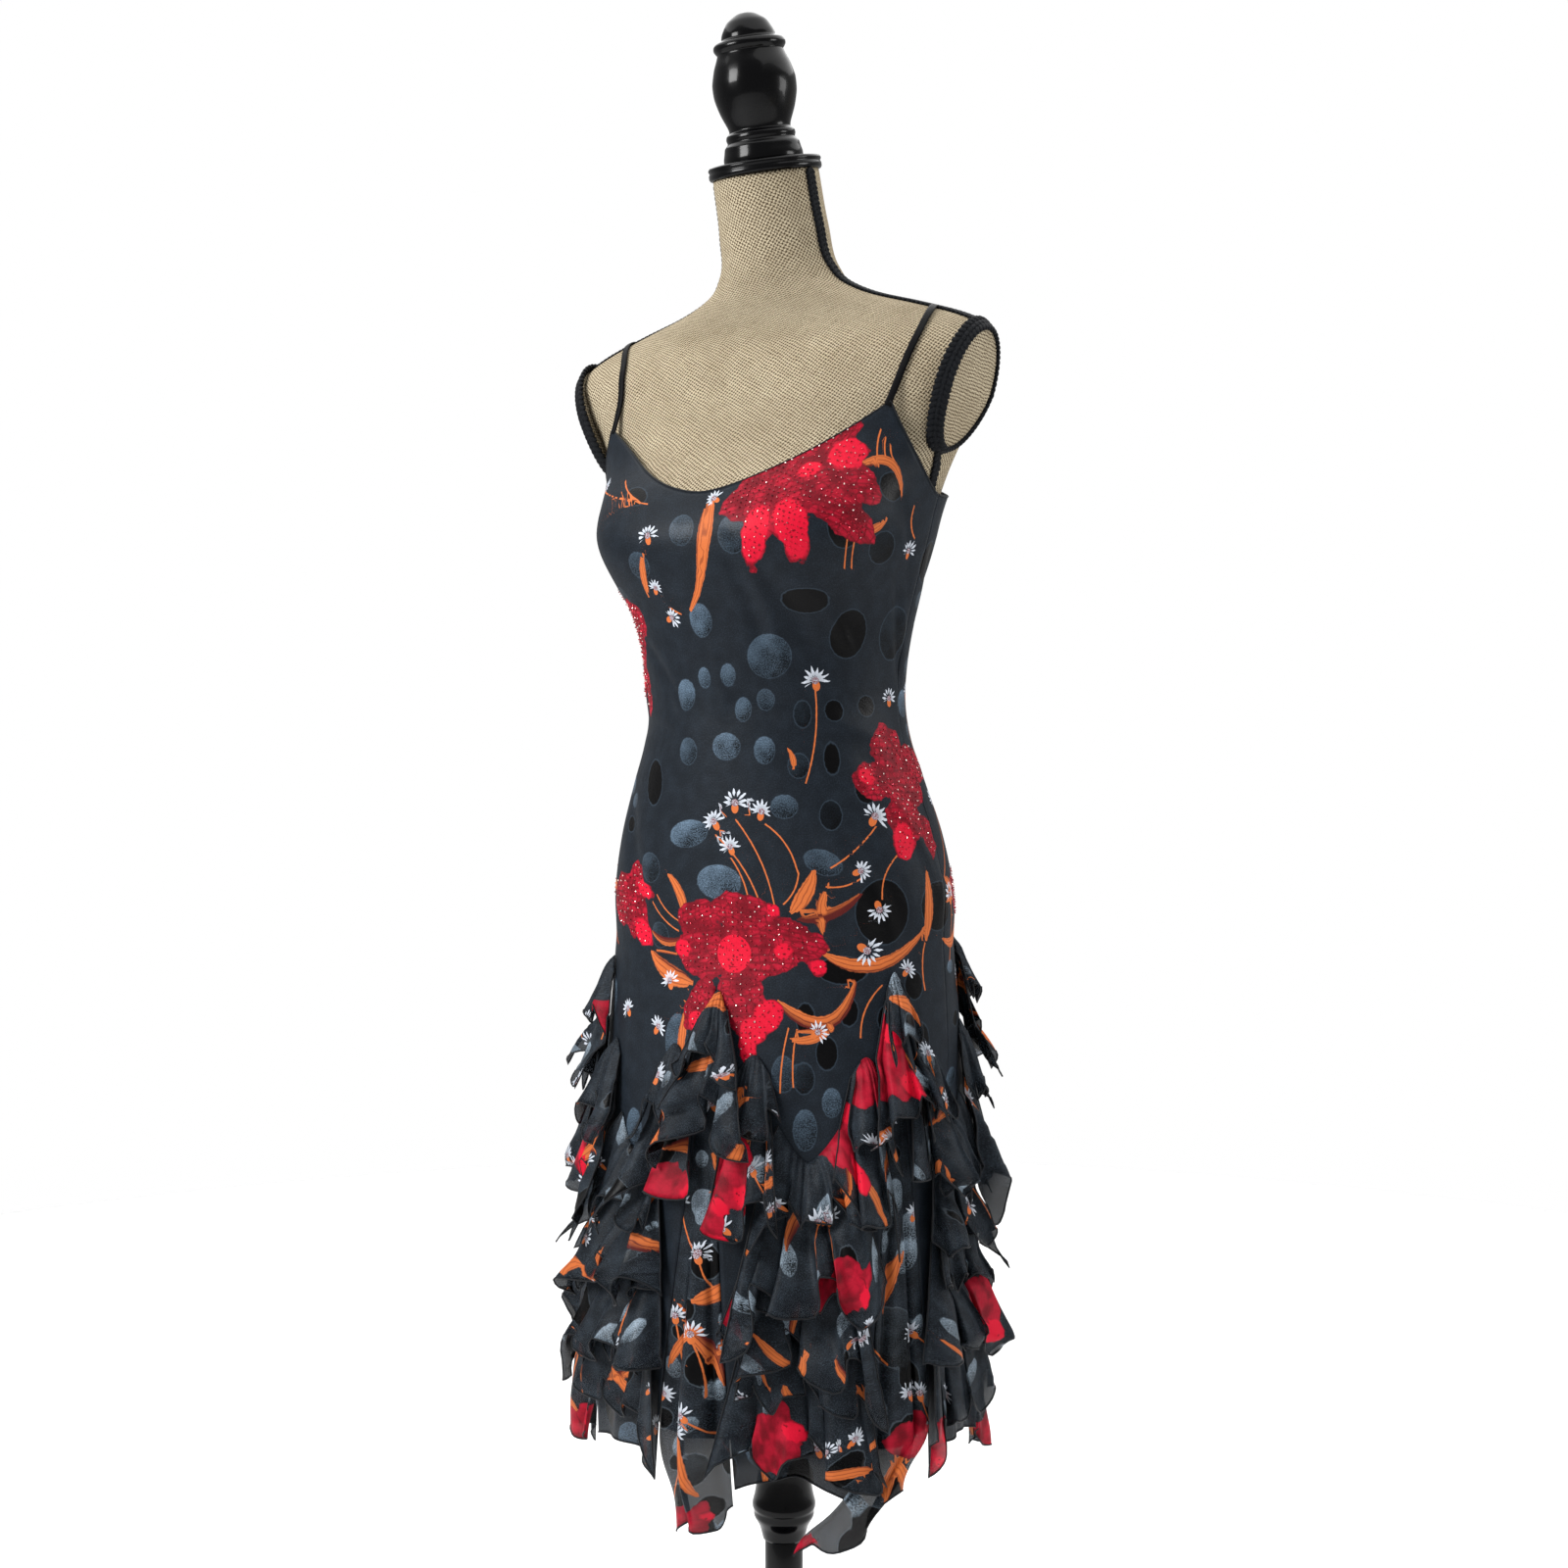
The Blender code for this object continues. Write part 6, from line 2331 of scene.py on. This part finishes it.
@dataclass(frozen=True)
class SkirtPrint:
    """Motifs on the flounces and godets where they show most, by angle and height."""

    reds: tuple[Spot, ...] = table(
        Spot, RED,
        (37.1, 718, 1.15, 0), (10.2, 688, 0.95, 0), (-3.9, 656, 0.85, 20), (7.7, 646, 0.8, 0),
        (-3.2, 563, 1, 0), (37, 583, 0.9, 30), (-60, 695, 1.3, 0), (-42.4, 437, 1.1, 0), (23.1, 463, 1, 0),
        (13.3, 420, 0.8, 0), (64.9, 457, 0.6, 0), (3, 392, 0.5, 0), (-54, 420, 0.6, 0), (33, 376, 0.35, 0),
        (118, 420, 0.6, 0), (183, 410, 0.6, 0), (244, 420, 0.6, 0), (51, 776, 1.1, -20), (108, 815, 1.3, 0),
        (100, 560, 0.9, 0), (8, 575, 0.7, 0),
    )
    leaves: tuple[Blade, ...] = table(
        Blade, LEAF,
        (14, 715, 21, 655, 7, 8, 0.2), (0, 580, 11, 602, 7, 4, 0.2), (-42, 500, -33, 455, 7, 5, 0.2),
        (94, 665, 96, 610, 5, 4, 0.2), (28, 520, 26, 465, 6, 4, 0.2), (-25, 640, -22, 590, 5, 4, 0.2),
        (58, 620, 52, 570, 6, 5, 0.2), (16, 560, 22, 515, 5.5, 6, 0.2), (32, 555, 26, 500, 5.5, -6, 0.2),
        (-36, 590, -46, 575, 5.5, 6, 0.2), (43, 690, 47, 640, 5.5, -6, 0.2),
        (-50, 720, -44, 675, 5.5, 5, 0.2), (54, 415, 62, 450, 3, -6, 0.2), (-3, 470, 3, 424, 5, 5, 0.2),
        (70, 700, 66, 650, 6, 6, 0.2), (-8, 740, -12, 690, 5, 4, 0.2),
    )
    ovals: tuple[Spot, ...] = table(
        Spot, OVAL,
        (13.2, 645, 8, 13, 1, -15), (55.8, 667, 9, 15, 1, 10), (62.7, 642, 11, 14, 0.9, 30),
        (52.6, 634, 7, 9, 0.9), (27.7, 622, 8, 13, 1), (33.2, 606, 6, 9, 0.8), (15.4, 582, 8, 14, 1, 10),
        (-33.2, 704, 10, 16, 0.9, -10), (-43.2, 546, 16, 21, 0), (-40.1, 642, 11, 14, 0),
        (7, 526, 13, 15, 0), (38.8, 532, 11, 14, 0), (40.5, 454, 13, 16, 0), (55.4, 553, 20, 24, 0.12),
        (-20, 600, 12, 16, 0.1), (75, 560, 10, 12, 0.7), (-55, 600, 10, 13, 0.8), (-4, 408, 12, 15, 0),
        (4.5, 388, 12, 13, 0), (5, 440, 10, 13, 0.1), (-5, 452, 9, 12, 0.8), (55, 425, 13, 15, 0),
        (50, 400, 14, 12, 0), (42, 390, 12, 14, 0), (65, 446, 10, 13, 0.1), (-65, 430, 12, 15, 0),
        (60, 476, 10, 14, 0), (-3, 785, 8, 13, 0.7), (6, 742, 9, 13, 0.8), (58, 800, 8, 12, 0.7),
        (63, 752, 9, 13, 0), (-8, 700, 10, 14, 0), (-27, 520, 11, 15, 0.9),
    )
    daisies: tuple[Spot, ...] = table(
        Spot, DAISY,
        (-16.2, 761, 12, 20), (7.1, 768, 11, -70), (-24.2, 779, 11, -20), (83.3, 744, 12, 30),
        (49.5, 707, 11, -30), (-30, 560, 11, 150), (-24, 552, 11, 200), (2, 620, 11, 60),
        (35, 640, 12, -50), (48, 560, 10, 40), (60, 510, 10, -20), (-10, 500, 10, 30), (18, 505, 10, -30),
        (43, 478, 10, 20), (-38, 610, 10, 40), (24, 665, 10, -20), (66, 655, 10, 30), (-46, 668, 10, -30),
    )
    search_width: float = 0.009
    search_out: float = 0.020
    search_depth: float = 0.040

    def placed(self, dress: DressShape, spots: Array, flats: Array, largest_red: float = 2.0) -> list[Mark]:
        """The motifs that lie on a sheet, in its flat plane, where the sheet stands out furthest.

        Args:
            dress: the surface that the angles and heights refer to.
            spots: the sheet's points.
            flats: their flat places.
            largest_red: the size of the largest red bloom that the sheet has.

        Returns:
            The marks.
        """
        items = [(Motif.OVAL, oval) for oval in self.ovals] + [(Motif.LEAF, leaf) for leaf in self.leaves]
        items += [(Motif.DAISY, daisy) for daisy in self.daisies] + [(Motif.BLOOM, red) for red in self.reds]
        found = []
        for kind, item in items:
            angle = radians(item.angle)
            way = outward_of(angle)
            away = spots - dress.points(angle, item.height, 0.0, True)
            out = away @ way
            aside = np.linalg.norm(away - out[:, None] * way, axis=1)
            near = (aside < self.search_width) & (np.abs(out - self.search_out) < self.search_depth)
            if not near.any() or (kind is Motif.BLOOM and item.size > largest_red):
                continue
            place = flats[int(np.where(near, out, -1.0).argmax())]
            found.append(self.mark_at(kind, item, place))
        return found

    @staticmethod
    def mark_at(kind: Motif, item: Spot | Blade, place: Array) -> Mark:
        """A motif at a flat place.

        Args:
            kind: what it is.
            item: its sizes.
            place: its flat place.

        Returns:
            The mark.
        """
        if kind is Motif.OVAL:
            return flat_mark(kind, place, item.turn, (item.wide, item.tall), item.tone)
        if kind is Motif.DAISY:
            return flat_mark(kind, place, item.turn, (item.wide, item.wide))
        if kind is Motif.BLOOM:
            grown = []
            for lobe in SMALL_BLOOM:
                sizes = [item.size * size for size in (lobe.x, lobe.y, lobe.long_half, lobe.short_half)]
                grown.append(Lobe(*sizes, lobe.turn, lobe.bright))
            return flat_mark(kind, place, item.turn, lobes=tuple(grown))
        across = radians(item.to_angle - item.angle) * SKIRT_RADIUS
        up = item.to_height - item.height
        path = bent_path(hypot(across, up), item.bend)
        turn = degrees(atan2(across, up))
        return flat_mark(kind, place, turn, (item.half, item.half), item.dark, path)


@dataclass(frozen=True)
class Tier:
    """A tier of flounces: below the godet tips, its hang, its middle and half widths in degrees."""

    label: str
    below_tip: float
    length: float
    middle: float
    top_half: float
    hem_half: float
    long_point: float
    short_point: float
    waves: float
    columns: int
    low: float


@dataclass(frozen=True)
class Hang:
    """A flounce's tier, its godet, its side of the godet, and what makes it differ from the others."""

    tier: Tier
    number: int
    side: int
    seed: float


@dataclass
class Flounces:
    """The pointed chiffon flounces beside the godets, each hanging over the one below it."""

    dress: DressShape
    bodice: Bodice
    rows: int = 25
    over_rows: int = 14
    over_share: float = 0.52
    flare: float = 0.0095
    ripple: float = 0.0066
    crimp: float = 0.0054
    fold_over: float = 0.0080
    seat: float = 0.0006
    clearance: float = 0.0022
    wall: float = 0.0005
    gather: float = 0.0010
    over_lift: float = 0.006
    over_depth: float = 0.65
    sheer_start: float = 0.68
    notch: float = 0.12
    zigzag: float = 0.07
    look_out: float = 0.40
    look_depth: float = 0.38
    look_turn: float = 0.008
    tiers: tuple[Tier, ...] = (
        Tier("lower", 0.276, 0.094, 30, 14.0, 22, 0.34, 0.08, 2.5, 56, 0.50),
        Tier("middle", 0.208, 0.102, 30, 12.0, 22, 0.38, 0.04, 2.6, 56, 0.50),
        Tier("upper", 0.138, 0.102, 30, 9.5, 20, 0.38, 0.05, 2.3, 56, 0.80),
        Tier("side", 0.064, 0.112, 12.5, 4.0, 11.0, 0.36, 0.00, 1.4, 32, 0.80),
        Tier("tip", 0.004, 0.096, 0, 2.5, 13, 0.42, 0.10, 1.4, 32, 0.80),
    )
    printed: SkirtPrint = SkirtPrint()
    hems: list[list[Vector]] = field(default_factory=list)

    def build(self, wardrobe: Wardrobe) -> None:
        """Builds and dresses the flounces, from the lowest tier up.

        Args:
            wardrobe: the finishes.
        """
        layers = list(self.bodice.surfaces)
        for step, tier in enumerate(self.tiers):
            below = self.search_tree(layers)
            sides = HANDS if tier.label == "side" else ((1, tier.label),)
            for number in range(6):
                for place, (side, label) in enumerate(sides):
                    hang = Hang(tier, number, side, 1.7 * number + 3.1 * step + 0.9 * place)
                    name = f"flounce_{label}_{number + 1}"
                    layers.append(self.build_one(name, hang, below, wardrobe.chiffon))

    @staticmethod
    def search_tree(layers: list[tuple[Array, Array]]) -> BVHTree:
        """A search tree over surfaces.

        Args:
            layers: the points and faces of each.

        Returns:
            The tree.
        """
        points, faces = [], []
        for spots, quads in layers:
            faces += (quads + len(points)).tolist()
            points += spots.tolist()
        return BVHTree.FromPolygons(points, faces)

    def reach(self, surface: BVHTree, axis: Vector, outward: Vector) -> float:
        """How far the surfaces reach from a point of the skirt's axis, in about a direction.

        Args:
            surface: the surfaces.
            axis: the point.
            outward: the direction.

        Returns:
            The distance.
        """
        furthest = 0.0
        for turn in (-self.look_turn, 0.0, self.look_turn):
            way = Matrix.Rotation(turn, 3, "Z") @ outward
            hit = surface.ray_cast(axis + way * self.look_out, -way, self.look_depth)[0]
            if hit is not None:
                furthest = max(furthest, (hit - axis).dot(way))
        return furthest

    def build_one(self, name: str, hang: Hang, below: BVHTree, chiffon: Material) -> tuple[Array, Array]:
        """One flounce of a long ruffle with a shorter one over it.

        Args:
            name: the solid that it stands for.
            hang: where it hangs.
            below: what it hangs over.
            chiffon: its finish.

        Returns:
            Its points and faces.
        """
        tier, number, seed = hang.tier, hang.number, hang.seed
        grid, flats = self.ruffle(hang, [below], self.rows, 1.0)
        faces = grid_faces(self.rows, tier.columns)
        main = self.search_tree([(grid.reshape(-1, 3), faces)])
        again = Hang(tier, number, hang.side, seed + 0.45)
        over, over_flats = self.ruffle(again, [below, main], self.over_rows, self.over_share)
        faces = np.concatenate([faces, grid_faces(self.over_rows, tier.columns) + len(flats)])
        flats = np.concatenate([flats, over_flats + (0.004, 0.05)])
        spots = np.concatenate([grid.reshape(-1, 3), over.reshape(-1, 3)])
        dice = random.Random(round(seed * 100) + number)
        middle = degrees(float(wrapped(GODET_STEP * number + radians(tier.middle * hang.side))))
        red = dice.choice((0, 0, 0, 0, 1) if -60 < middle < 100 else (0, 0, 1))
        counts = (dice.randint(8, 13), dice.randint(3, 6), dice.randint(4, 8), red)
        marks = ScatterPrint(round(seed * 70) + number).on_sheet(flats, *counts)
        marks += self.printed.placed(self.dress, spots, flats)
        values = PrintField(flats, marks)
        down = [np.linspace(0, 1, rows + 1) for rows in (self.rows, self.over_rows)]
        sheer = smooth_step((np.concatenate(down) - self.sheer_start) / (1 - self.sheer_start))
        values.lobe[:, 2] = np.repeat(sheer, tier.columns + 1)
        item = mesh_piece(name + "_chiffon", spots, faces, chiffon, flats, values.attributes())
        thicken(item, self.wall)
        for part in (grid, over):
            sides = (part[:, 0], part[-1, 1:], part[::-1, -1][1:])
            self.hems.append([Vector(spot) for line in sides for spot in line])
        (width, length), area = cut_size(grid)
        (_, over_length), over_area = cut_size(over)
        area, length = area + over_area, length + over_length
        width = min(max(width, area / length), area / length / LEAST_FILL)
        finish_piece(item, Cloth.CHIFFON, name)
        return spots, faces

    def ruffle(self, hang: Hang, below: list[BVHTree], rows: int, share_down: float) -> tuple[Array, Array]:
        """One ruffle of a flounce, from its gathered top down to its pointed hem.

        Args:
            hang: where it hangs.
            below: what it hangs over.
            rows: its cells down.
            share_down: its length as a share of the tier's.

        Returns:
            Its points by row and column, and their flat places.
        """
        tier, side, seed = hang.tier, hang.side, hang.seed
        sway, lilt = sin(2.1 * seed + 0.4), sin(1.3 * seed - 2.6 * tier.waves + 0.8)
        centre = GODET_STEP * hang.number + radians(tier.middle * side + 1.2 * sway)
        ends = (tier.long_point, tier.short_point)
        left, right = ends if side * cos(2.4 * seed) > 0 else ends[::-1]
        top = float(self.dress.godet_tip(centre)) - tier.below_tip - 0.006 * lilt
        shorter, lift = (self.over_depth, self.over_lift) if share_down < 1 else (1.0, 0.0)
        share = np.linspace(-1, 1, tier.columns + 1)
        phase = pi * tier.waves * share + 2.6 * lilt
        crimp = pi * tier.waves * 2.1 * share + 4.0 * sway + 1.2 * np.sin(3 * share)
        corner = np.where(share > 0, left, right) * share * share
        notch = self.notch * (1 + 0.5 * sway) * np.cos(phase + 0.8)
        zigzag = self.zigzag * (2 / pi) * np.arcsin(np.sin(crimp))
        vee = 0.030 * np.abs(share) ** 1.4 - 0.014 if tier.middle == 30 else -0.012 * share**2
        grid, flat = [], []
        for down in np.linspace(0, 1, rows + 1):
            half = radians(tier.top_half + (tier.hem_half - tier.top_half) * (down * share_down) ** 0.7)
            lean = 0.75 * np.sin(phase) + 0.30 * np.sin(2 * phase + 0.6) + 0.75 * down * np.sin(crimp)
            angles = centre + half * share * (1.04 - 0.04 / shorter)
            angles = angles + self.fold_over * shorter * down * lean / SKIRT_RADIUS
            drop = tier.length * share_down * down
            heights = top - drop * (1 + corner + notch + 0.08 * lilt + zigzag * down / share_down)
            heights = heights + (1 - down) * vee + lift
            flare = tier.low * self.flare * (1 + 0.2 * lilt) * (down * share_down) ** 1.1
            fold = self.ripple * (1 + np.cos(phase)) + self.crimp * down * (1 + np.cos(crimp + 1.6 * down))
            gather = self.gather * (1 + np.sin(crimp * 1.9)) * (1 - down) ** 0.5 * min(1.0, down * 8)
            fold = down * shorter * (0.3 + 0.7 * tier.low) * fold + gather
            spots = self.hung_row(angles, heights, flare, fold, down, below)
            run = summed(run_of(spots, 0), 0)
            grid.append(spots)
            flat.append(np.stack([run - run[len(run) // 2], heights - top], axis=-1))
        return np.array(grid), np.concatenate(flat)

    def hung_row(
        self, angles: Array, heights: Array, flare: float, fold: Array, down: float, below: list[BVHTree]
    ) -> Array:
        """One row of a ruffle, bridging what lies under it, with its folds standing out from there.

        Args:
            angles: angles round the body.
            heights: heights above the floor.
            flare: how far it stands off the dress.
            fold: how far its folds stand out more.
            down: how far down the ruffle it lies, 0 to 1.
            below: what it hangs over.

        Returns:
            Its points.
        """
        axes = np.stack([np.zeros_like(heights), np.full_like(heights, BODY_Y), heights], axis=-1)
        away = self.dress.points(angles, heights, 0.0, True) - axes
        sizes = np.linalg.norm(away, axis=1)
        ways = away / sizes[:, None]
        rays = [(Vector(axis), Vector(way)) for axis, way in zip(axes, ways)]
        least = [max(self.reach(tree, *ray) for tree in below) for ray in rays]
        clearance = self.seat + (self.clearance - self.seat) * min(1.0, down * 5)
        least = np.array(least) + clearance + self.wall
        if down > 0:
            padded = np.pad(np.maximum(least, sizes + flare), 2, mode="edge")
            widest = np.max([padded[k : k + len(least) + 2] for k in range(3)], axis=0)
            bridged = np.mean([widest[k : k + len(least)] for k in range(3)], axis=0)
            least = np.maximum(least, bridged) + fold
        return axes + ways * least[:, None]


@dataclass(frozen=True)
class Straps:
    """The two narrow straps and the bound upper edge."""

    dress: DressShape
    width: float = 0.0060
    wall: float = 0.0014
    least_width: float = 0.0101
    least_area: float = 0.31
    seat: float = 0.0012
    end_lift: float = 0.0052
    crown: float = 0.0003
    end_share: float = 0.10
    steps: int = 90
    front_tuck: float = 0.004
    back_tuck: float = 0.003
    binding_depth: float = 0.0003
    binding_radius: float = 0.0009
    lanes: tuple[float, ...] = (-1, -0.5, 0, 0.5, 1)
    over_left: tuple[tuple[float, float, float], ...] = (
        (0.1465, -0.0575, 1.343), (0.1555, -0.0490, 1.369), (0.1575, -0.0290, 1.392),
    )
    over_right: tuple[tuple[float, float, float], ...] = (
        (0.1330, -0.0605, 1.345), (0.1370, -0.0515, 1.371), (0.1470, -0.0310, 1.395),
    )
    behind: tuple[tuple[float, float, float], ...] = (
        (0.1535, -0.0060, 1.404), (0.1510, 0.0160, 1.396), (0.1450, 0.0360, 1.376),
        (0.1370, 0.0560, 1.345), (0.1250, 0.0730, 1.305),
    )

    def build(self, wardrobe: Wardrobe, roll: NodeTree) -> None:
        """Builds and dresses the straps and the binding.

        Args:
            wardrobe: the finishes.
            roll: the rolled hem's tree.
        """
        graph = bpy.context.evaluated_depsgraph_get()
        tree = BVHTree.FromObject(bpy.data.objects["form_torso_burlap"], graph)
        for side, hand in HANDS:
            self.build_strap(side, hand, tree, wardrobe.satin)
        for name, low, high in (("front", -90, 90), ("back", 90, 270)):
            angles = np.radians(np.linspace(low + 0.3, high - 0.3, 181))
            line = self.dress.points(angles, self.dress.top_edge(angles), self.binding_depth)
            upright = [Vector((0, 0, 1))] * len(line)
            sizes = {"Radius": self.binding_radius}
            item = tree_on_line(f"binding_{name}", line, upright, roll, sizes)
            finish_piece(item, Cloth.SILK)

    def build_strap(self, side: int, hand: str, tree: BVHTree, satin: Material) -> None:
        """One strap from the front's strap point, over the shoulder, to the back.

        Args:
            side: 1 for the form's left, -1 for its right.
            hand: the side's name.
            tree: the form's surface.
            satin: its finish.
        """
        shape = self.dress
        path = (self.over_left if side > 0 else self.over_right) + self.behind
        front, back = shape.strap_point - self.front_tuck, shape.back_strap_point - self.back_tuck
        first = shape.points(side * shape.strap_angle, front, self.seat)
        last = shape.points(side * shape.back_strap_angle, back, self.seat)
        guide = [first, *((side * x, y, z) for x, y, z in path), last]
        lane = smooth_path([Vector(spot) for spot in guide], self.steps)
        points, flats, run = [], [], 0.0
        for i, spot in enumerate(lane):
            ahead = (lane[min(i + 1, len(lane) - 1)] - lane[max(i - 1, 0)]).normalized()
            across = ahead.cross(tree.find_nearest(spot)[1]).normalized() * self.width / 2
            share = i / (len(lane) - 1)
            near_end = np.array([share, 1 - share]) / self.end_share
            lift = self.seat + self.end_lift * float(smooth_step(1 - near_end).sum())
            run += (lane[i] - lane[i - 1]).length if i else 0.0
            for k in self.lanes:
                seat, normal = tree.find_nearest(spot + across * k)[:2]
                points.append(seat + normal * (lift + self.crown * (1 - k * k)) + normal * self.wall)
                flats.append((k * self.width / 2, run))
        faces = grid_faces(len(lane) - 1, len(self.lanes) - 1)
        points = np.array(points).reshape(len(lane), len(self.lanes), 3)
        item = mesh_piece(f"strap_{hand}_satin", points, faces, satin, np.array(flats))
        normal = np.cross(points[1, 0] - points[0, 0], points[0, 1] - points[0, 0])
        if normal @ (points[0, 2] - (0, BODY_Y, points[0, 2, 2])) < 0:
            item.data.flip_normals()
        thicken(item, self.wall)
        size, area = cut_size(points)
        size = (max(size[0], self.least_width), size[1])
        area = max(area, self.least_area * size[0] * size[1])
        finish_piece(item, Cloth.SATIN, f"strap_{hand}")


@dataclass(frozen=True)
class Trimmings:
    """The rolled hems and the beads."""

    bodice: Bodice
    flounces: Flounces
    hem_radius: float = 0.00075
    uneven: float = 0.25

    def build(self, wardrobe: Wardrobe, roll: NodeTree) -> None:
        """Builds and dresses the hems and the beads.

        Args:
            wardrobe: the finishes.
            roll: the rolled hem's tree.
        """
        for name, lines in (("skirt_hems", self.bodice.hems), ("flounce_hems", self.flounces.hems)):
            points, edges = [], []
            for line in lines:
                edges += [(i, i + 1) for i in range(len(points), len(points) + len(line) - 1)]
                points += line
            item = made_plain(name, wire(name, points, edges), roll, {"Radius": self.hem_radius})
            finish_piece(item, Cloth.CHIFFON)
        spots = np.concatenate(self.bodice.red_spots)
        order = np.random.default_rng(5).permutation(len(spots))
        silver = ("beads_silver", 0.0060, 0.00070, wardrobe.glints)
        for name, gap, radius, finish in (silver, ("beads_garnet", 0.0044, 0.00066, wardrobe.seeds)):
            source = wire(name, self.spread(spots[order], gap), [])
            order = order[::-1]
            sizes = {"Radius": radius, "Uneven": self.uneven}
            item = made_plain(name, source, BeadTree().build(finish), sizes)
            finish_piece(item, Cloth.SILK)

    @staticmethod
    def spread(spots: Array, gap: float) -> Array:
        """Places picked from a list so that none are nearer than a gap.

        Args:
            spots: the places.
            gap: the least distance.

        Returns:
            The places picked.
        """
        cells: dict[tuple[int, ...], list[Array]] = {}
        steps = [(x, y, z) for x in (-1, 0, 1) for y in (-1, 0, 1) for z in (-1, 0, 1)]
        chosen = []
        for spot in spots[:, :3]:
            key = tuple(int(part // gap) for part in spot)
            cellmates = [cells.get(tuple(map(sum, zip(key, step))), ()) for step in steps]
            if all(np.linalg.norm(spot - other) >= gap for cell in cellmates for other in cell):
                cells.setdefault(key, []).append(spot)
                chosen.append(spot)
        return np.array(chosen)


def place_round(azimuth: float, away: float, height: float) -> Vector:
    """A place round the stand, by its direction in degrees, its distance and its height."""
    return Vector((sin(radians(azimuth)) * away, -cos(radians(azimuth)) * away, height))


@dataclass(frozen=True)
class Studio:
    """The pale floor, the soft lights and the camera."""

    azimuth: float = 30.0
    distance: float = 1.67
    eye_height: float = 1.03
    lens: float = 42.8
    shift_y: float = -0.0231
    room_light: float = 0.38
    floor_radius: float = 3.0
    target: tuple[float, float, float] = (0, 0, 0.95)

    def build(self) -> None:
        """Builds the floor, the lights and the camera."""
        self.build_floor()
        self.build_lights()
        self.build_camera()

    def build_floor(self) -> None:
        """A wide pale floor under the stand."""
        material, graph, shader = new_material("pale_floor")
        tone = graph.noise(graph.object_place(), 3.0)
        colour = graph.mix(tone, (0.98, 0.98, 0.98, 1), (1.0, 1.0, 1.0, 1))
        graph.feed(shader, {"Base Color": colour, "Roughness": 0.9})
        turns = np.linspace(0, 2 * pi, 97)[:-1]
        points = np.stack([np.cos(turns), np.sin(turns), np.zeros_like(turns)], axis=1) * self.floor_radius
        mesh_piece("floor", points, [range(96)], material)

    def build_lights(self) -> None:
        """A white room light, a large soft light at the left front, a weaker one and one from above."""
        bpy.context.scene.view_settings.view_transform = "Standard"
        world = bpy.data.worlds.new("white_room")
        world.use_nodes = True
        graph = Graph(world.node_tree)
        seen = graph.out("ShaderNodeLightPath", None, "Is Camera Ray")
        strength = seen.ramp(0.0, 1.0, (self.room_light, 1.0))
        graph.feed(world.node_tree.nodes["Background"], {"Color": (1, 1, 1, 1), "Strength": strength})
        bpy.context.scene.world = world
        lights = {
            "key_light": (-28, 2.4, 2.0, 1.0, 78),
            "side_light": (112, 2.6, 1.7, 1.0, 30),
            "top_light": (180, 0.8, 3.3, 5.0, 150),
        }
        for name, (azimuth, away, height, size, power) in lights.items():
            light = bpy.data.lights.new(name, "AREA")
            light.energy, light.size = power, size
            item = linked(name, light)
            item.location = place_round(azimuth, away, height)
            if name != "top_light":
                facing = (Vector(self.target) - item.location).to_track_quat("-Z", "Y")
                item.rotation_euler = facing.to_euler()

    def build_camera(self) -> None:
        """The camera, level at waist height, before the form's left front."""
        camera = bpy.data.cameras.new("camera")
        camera.lens, camera.sensor_width, camera.shift_y = self.lens, 36.0, self.shift_y
        item = linked("camera", camera)
        item.location = place_round(self.azimuth, self.distance, self.eye_height)
        item.rotation_euler = (radians(90), 0, radians(self.azimuth))
        bpy.context.scene.camera = item


def main() -> None:
    """Builds the studio, the form, its stand and the dress."""
    logging.basicConfig(level=logging.INFO, format="%(name)s %(message)s")
    Studio().build()
    wardrobe = Wardrobe()
    figure = FigureShape()
    dress = DressShape(figure)
    Stand().build(wardrobe)
    DressForm(figure).build(wardrobe)
    bodice = Bodice(dress, BodyPrint(dress))
    bodice.build(wardrobe)
    Lining(dress).build(wardrobe)
    roll = RollTree().build(wardrobe.hem)
    Straps(dress).build(wardrobe, roll)
    flounces = Flounces(dress, bodice)
    flounces.build(wardrobe)
    Trimmings(bodice, flounces).build(wardrobe, roll)
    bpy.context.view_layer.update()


if __name__ == "__main__":
    main()
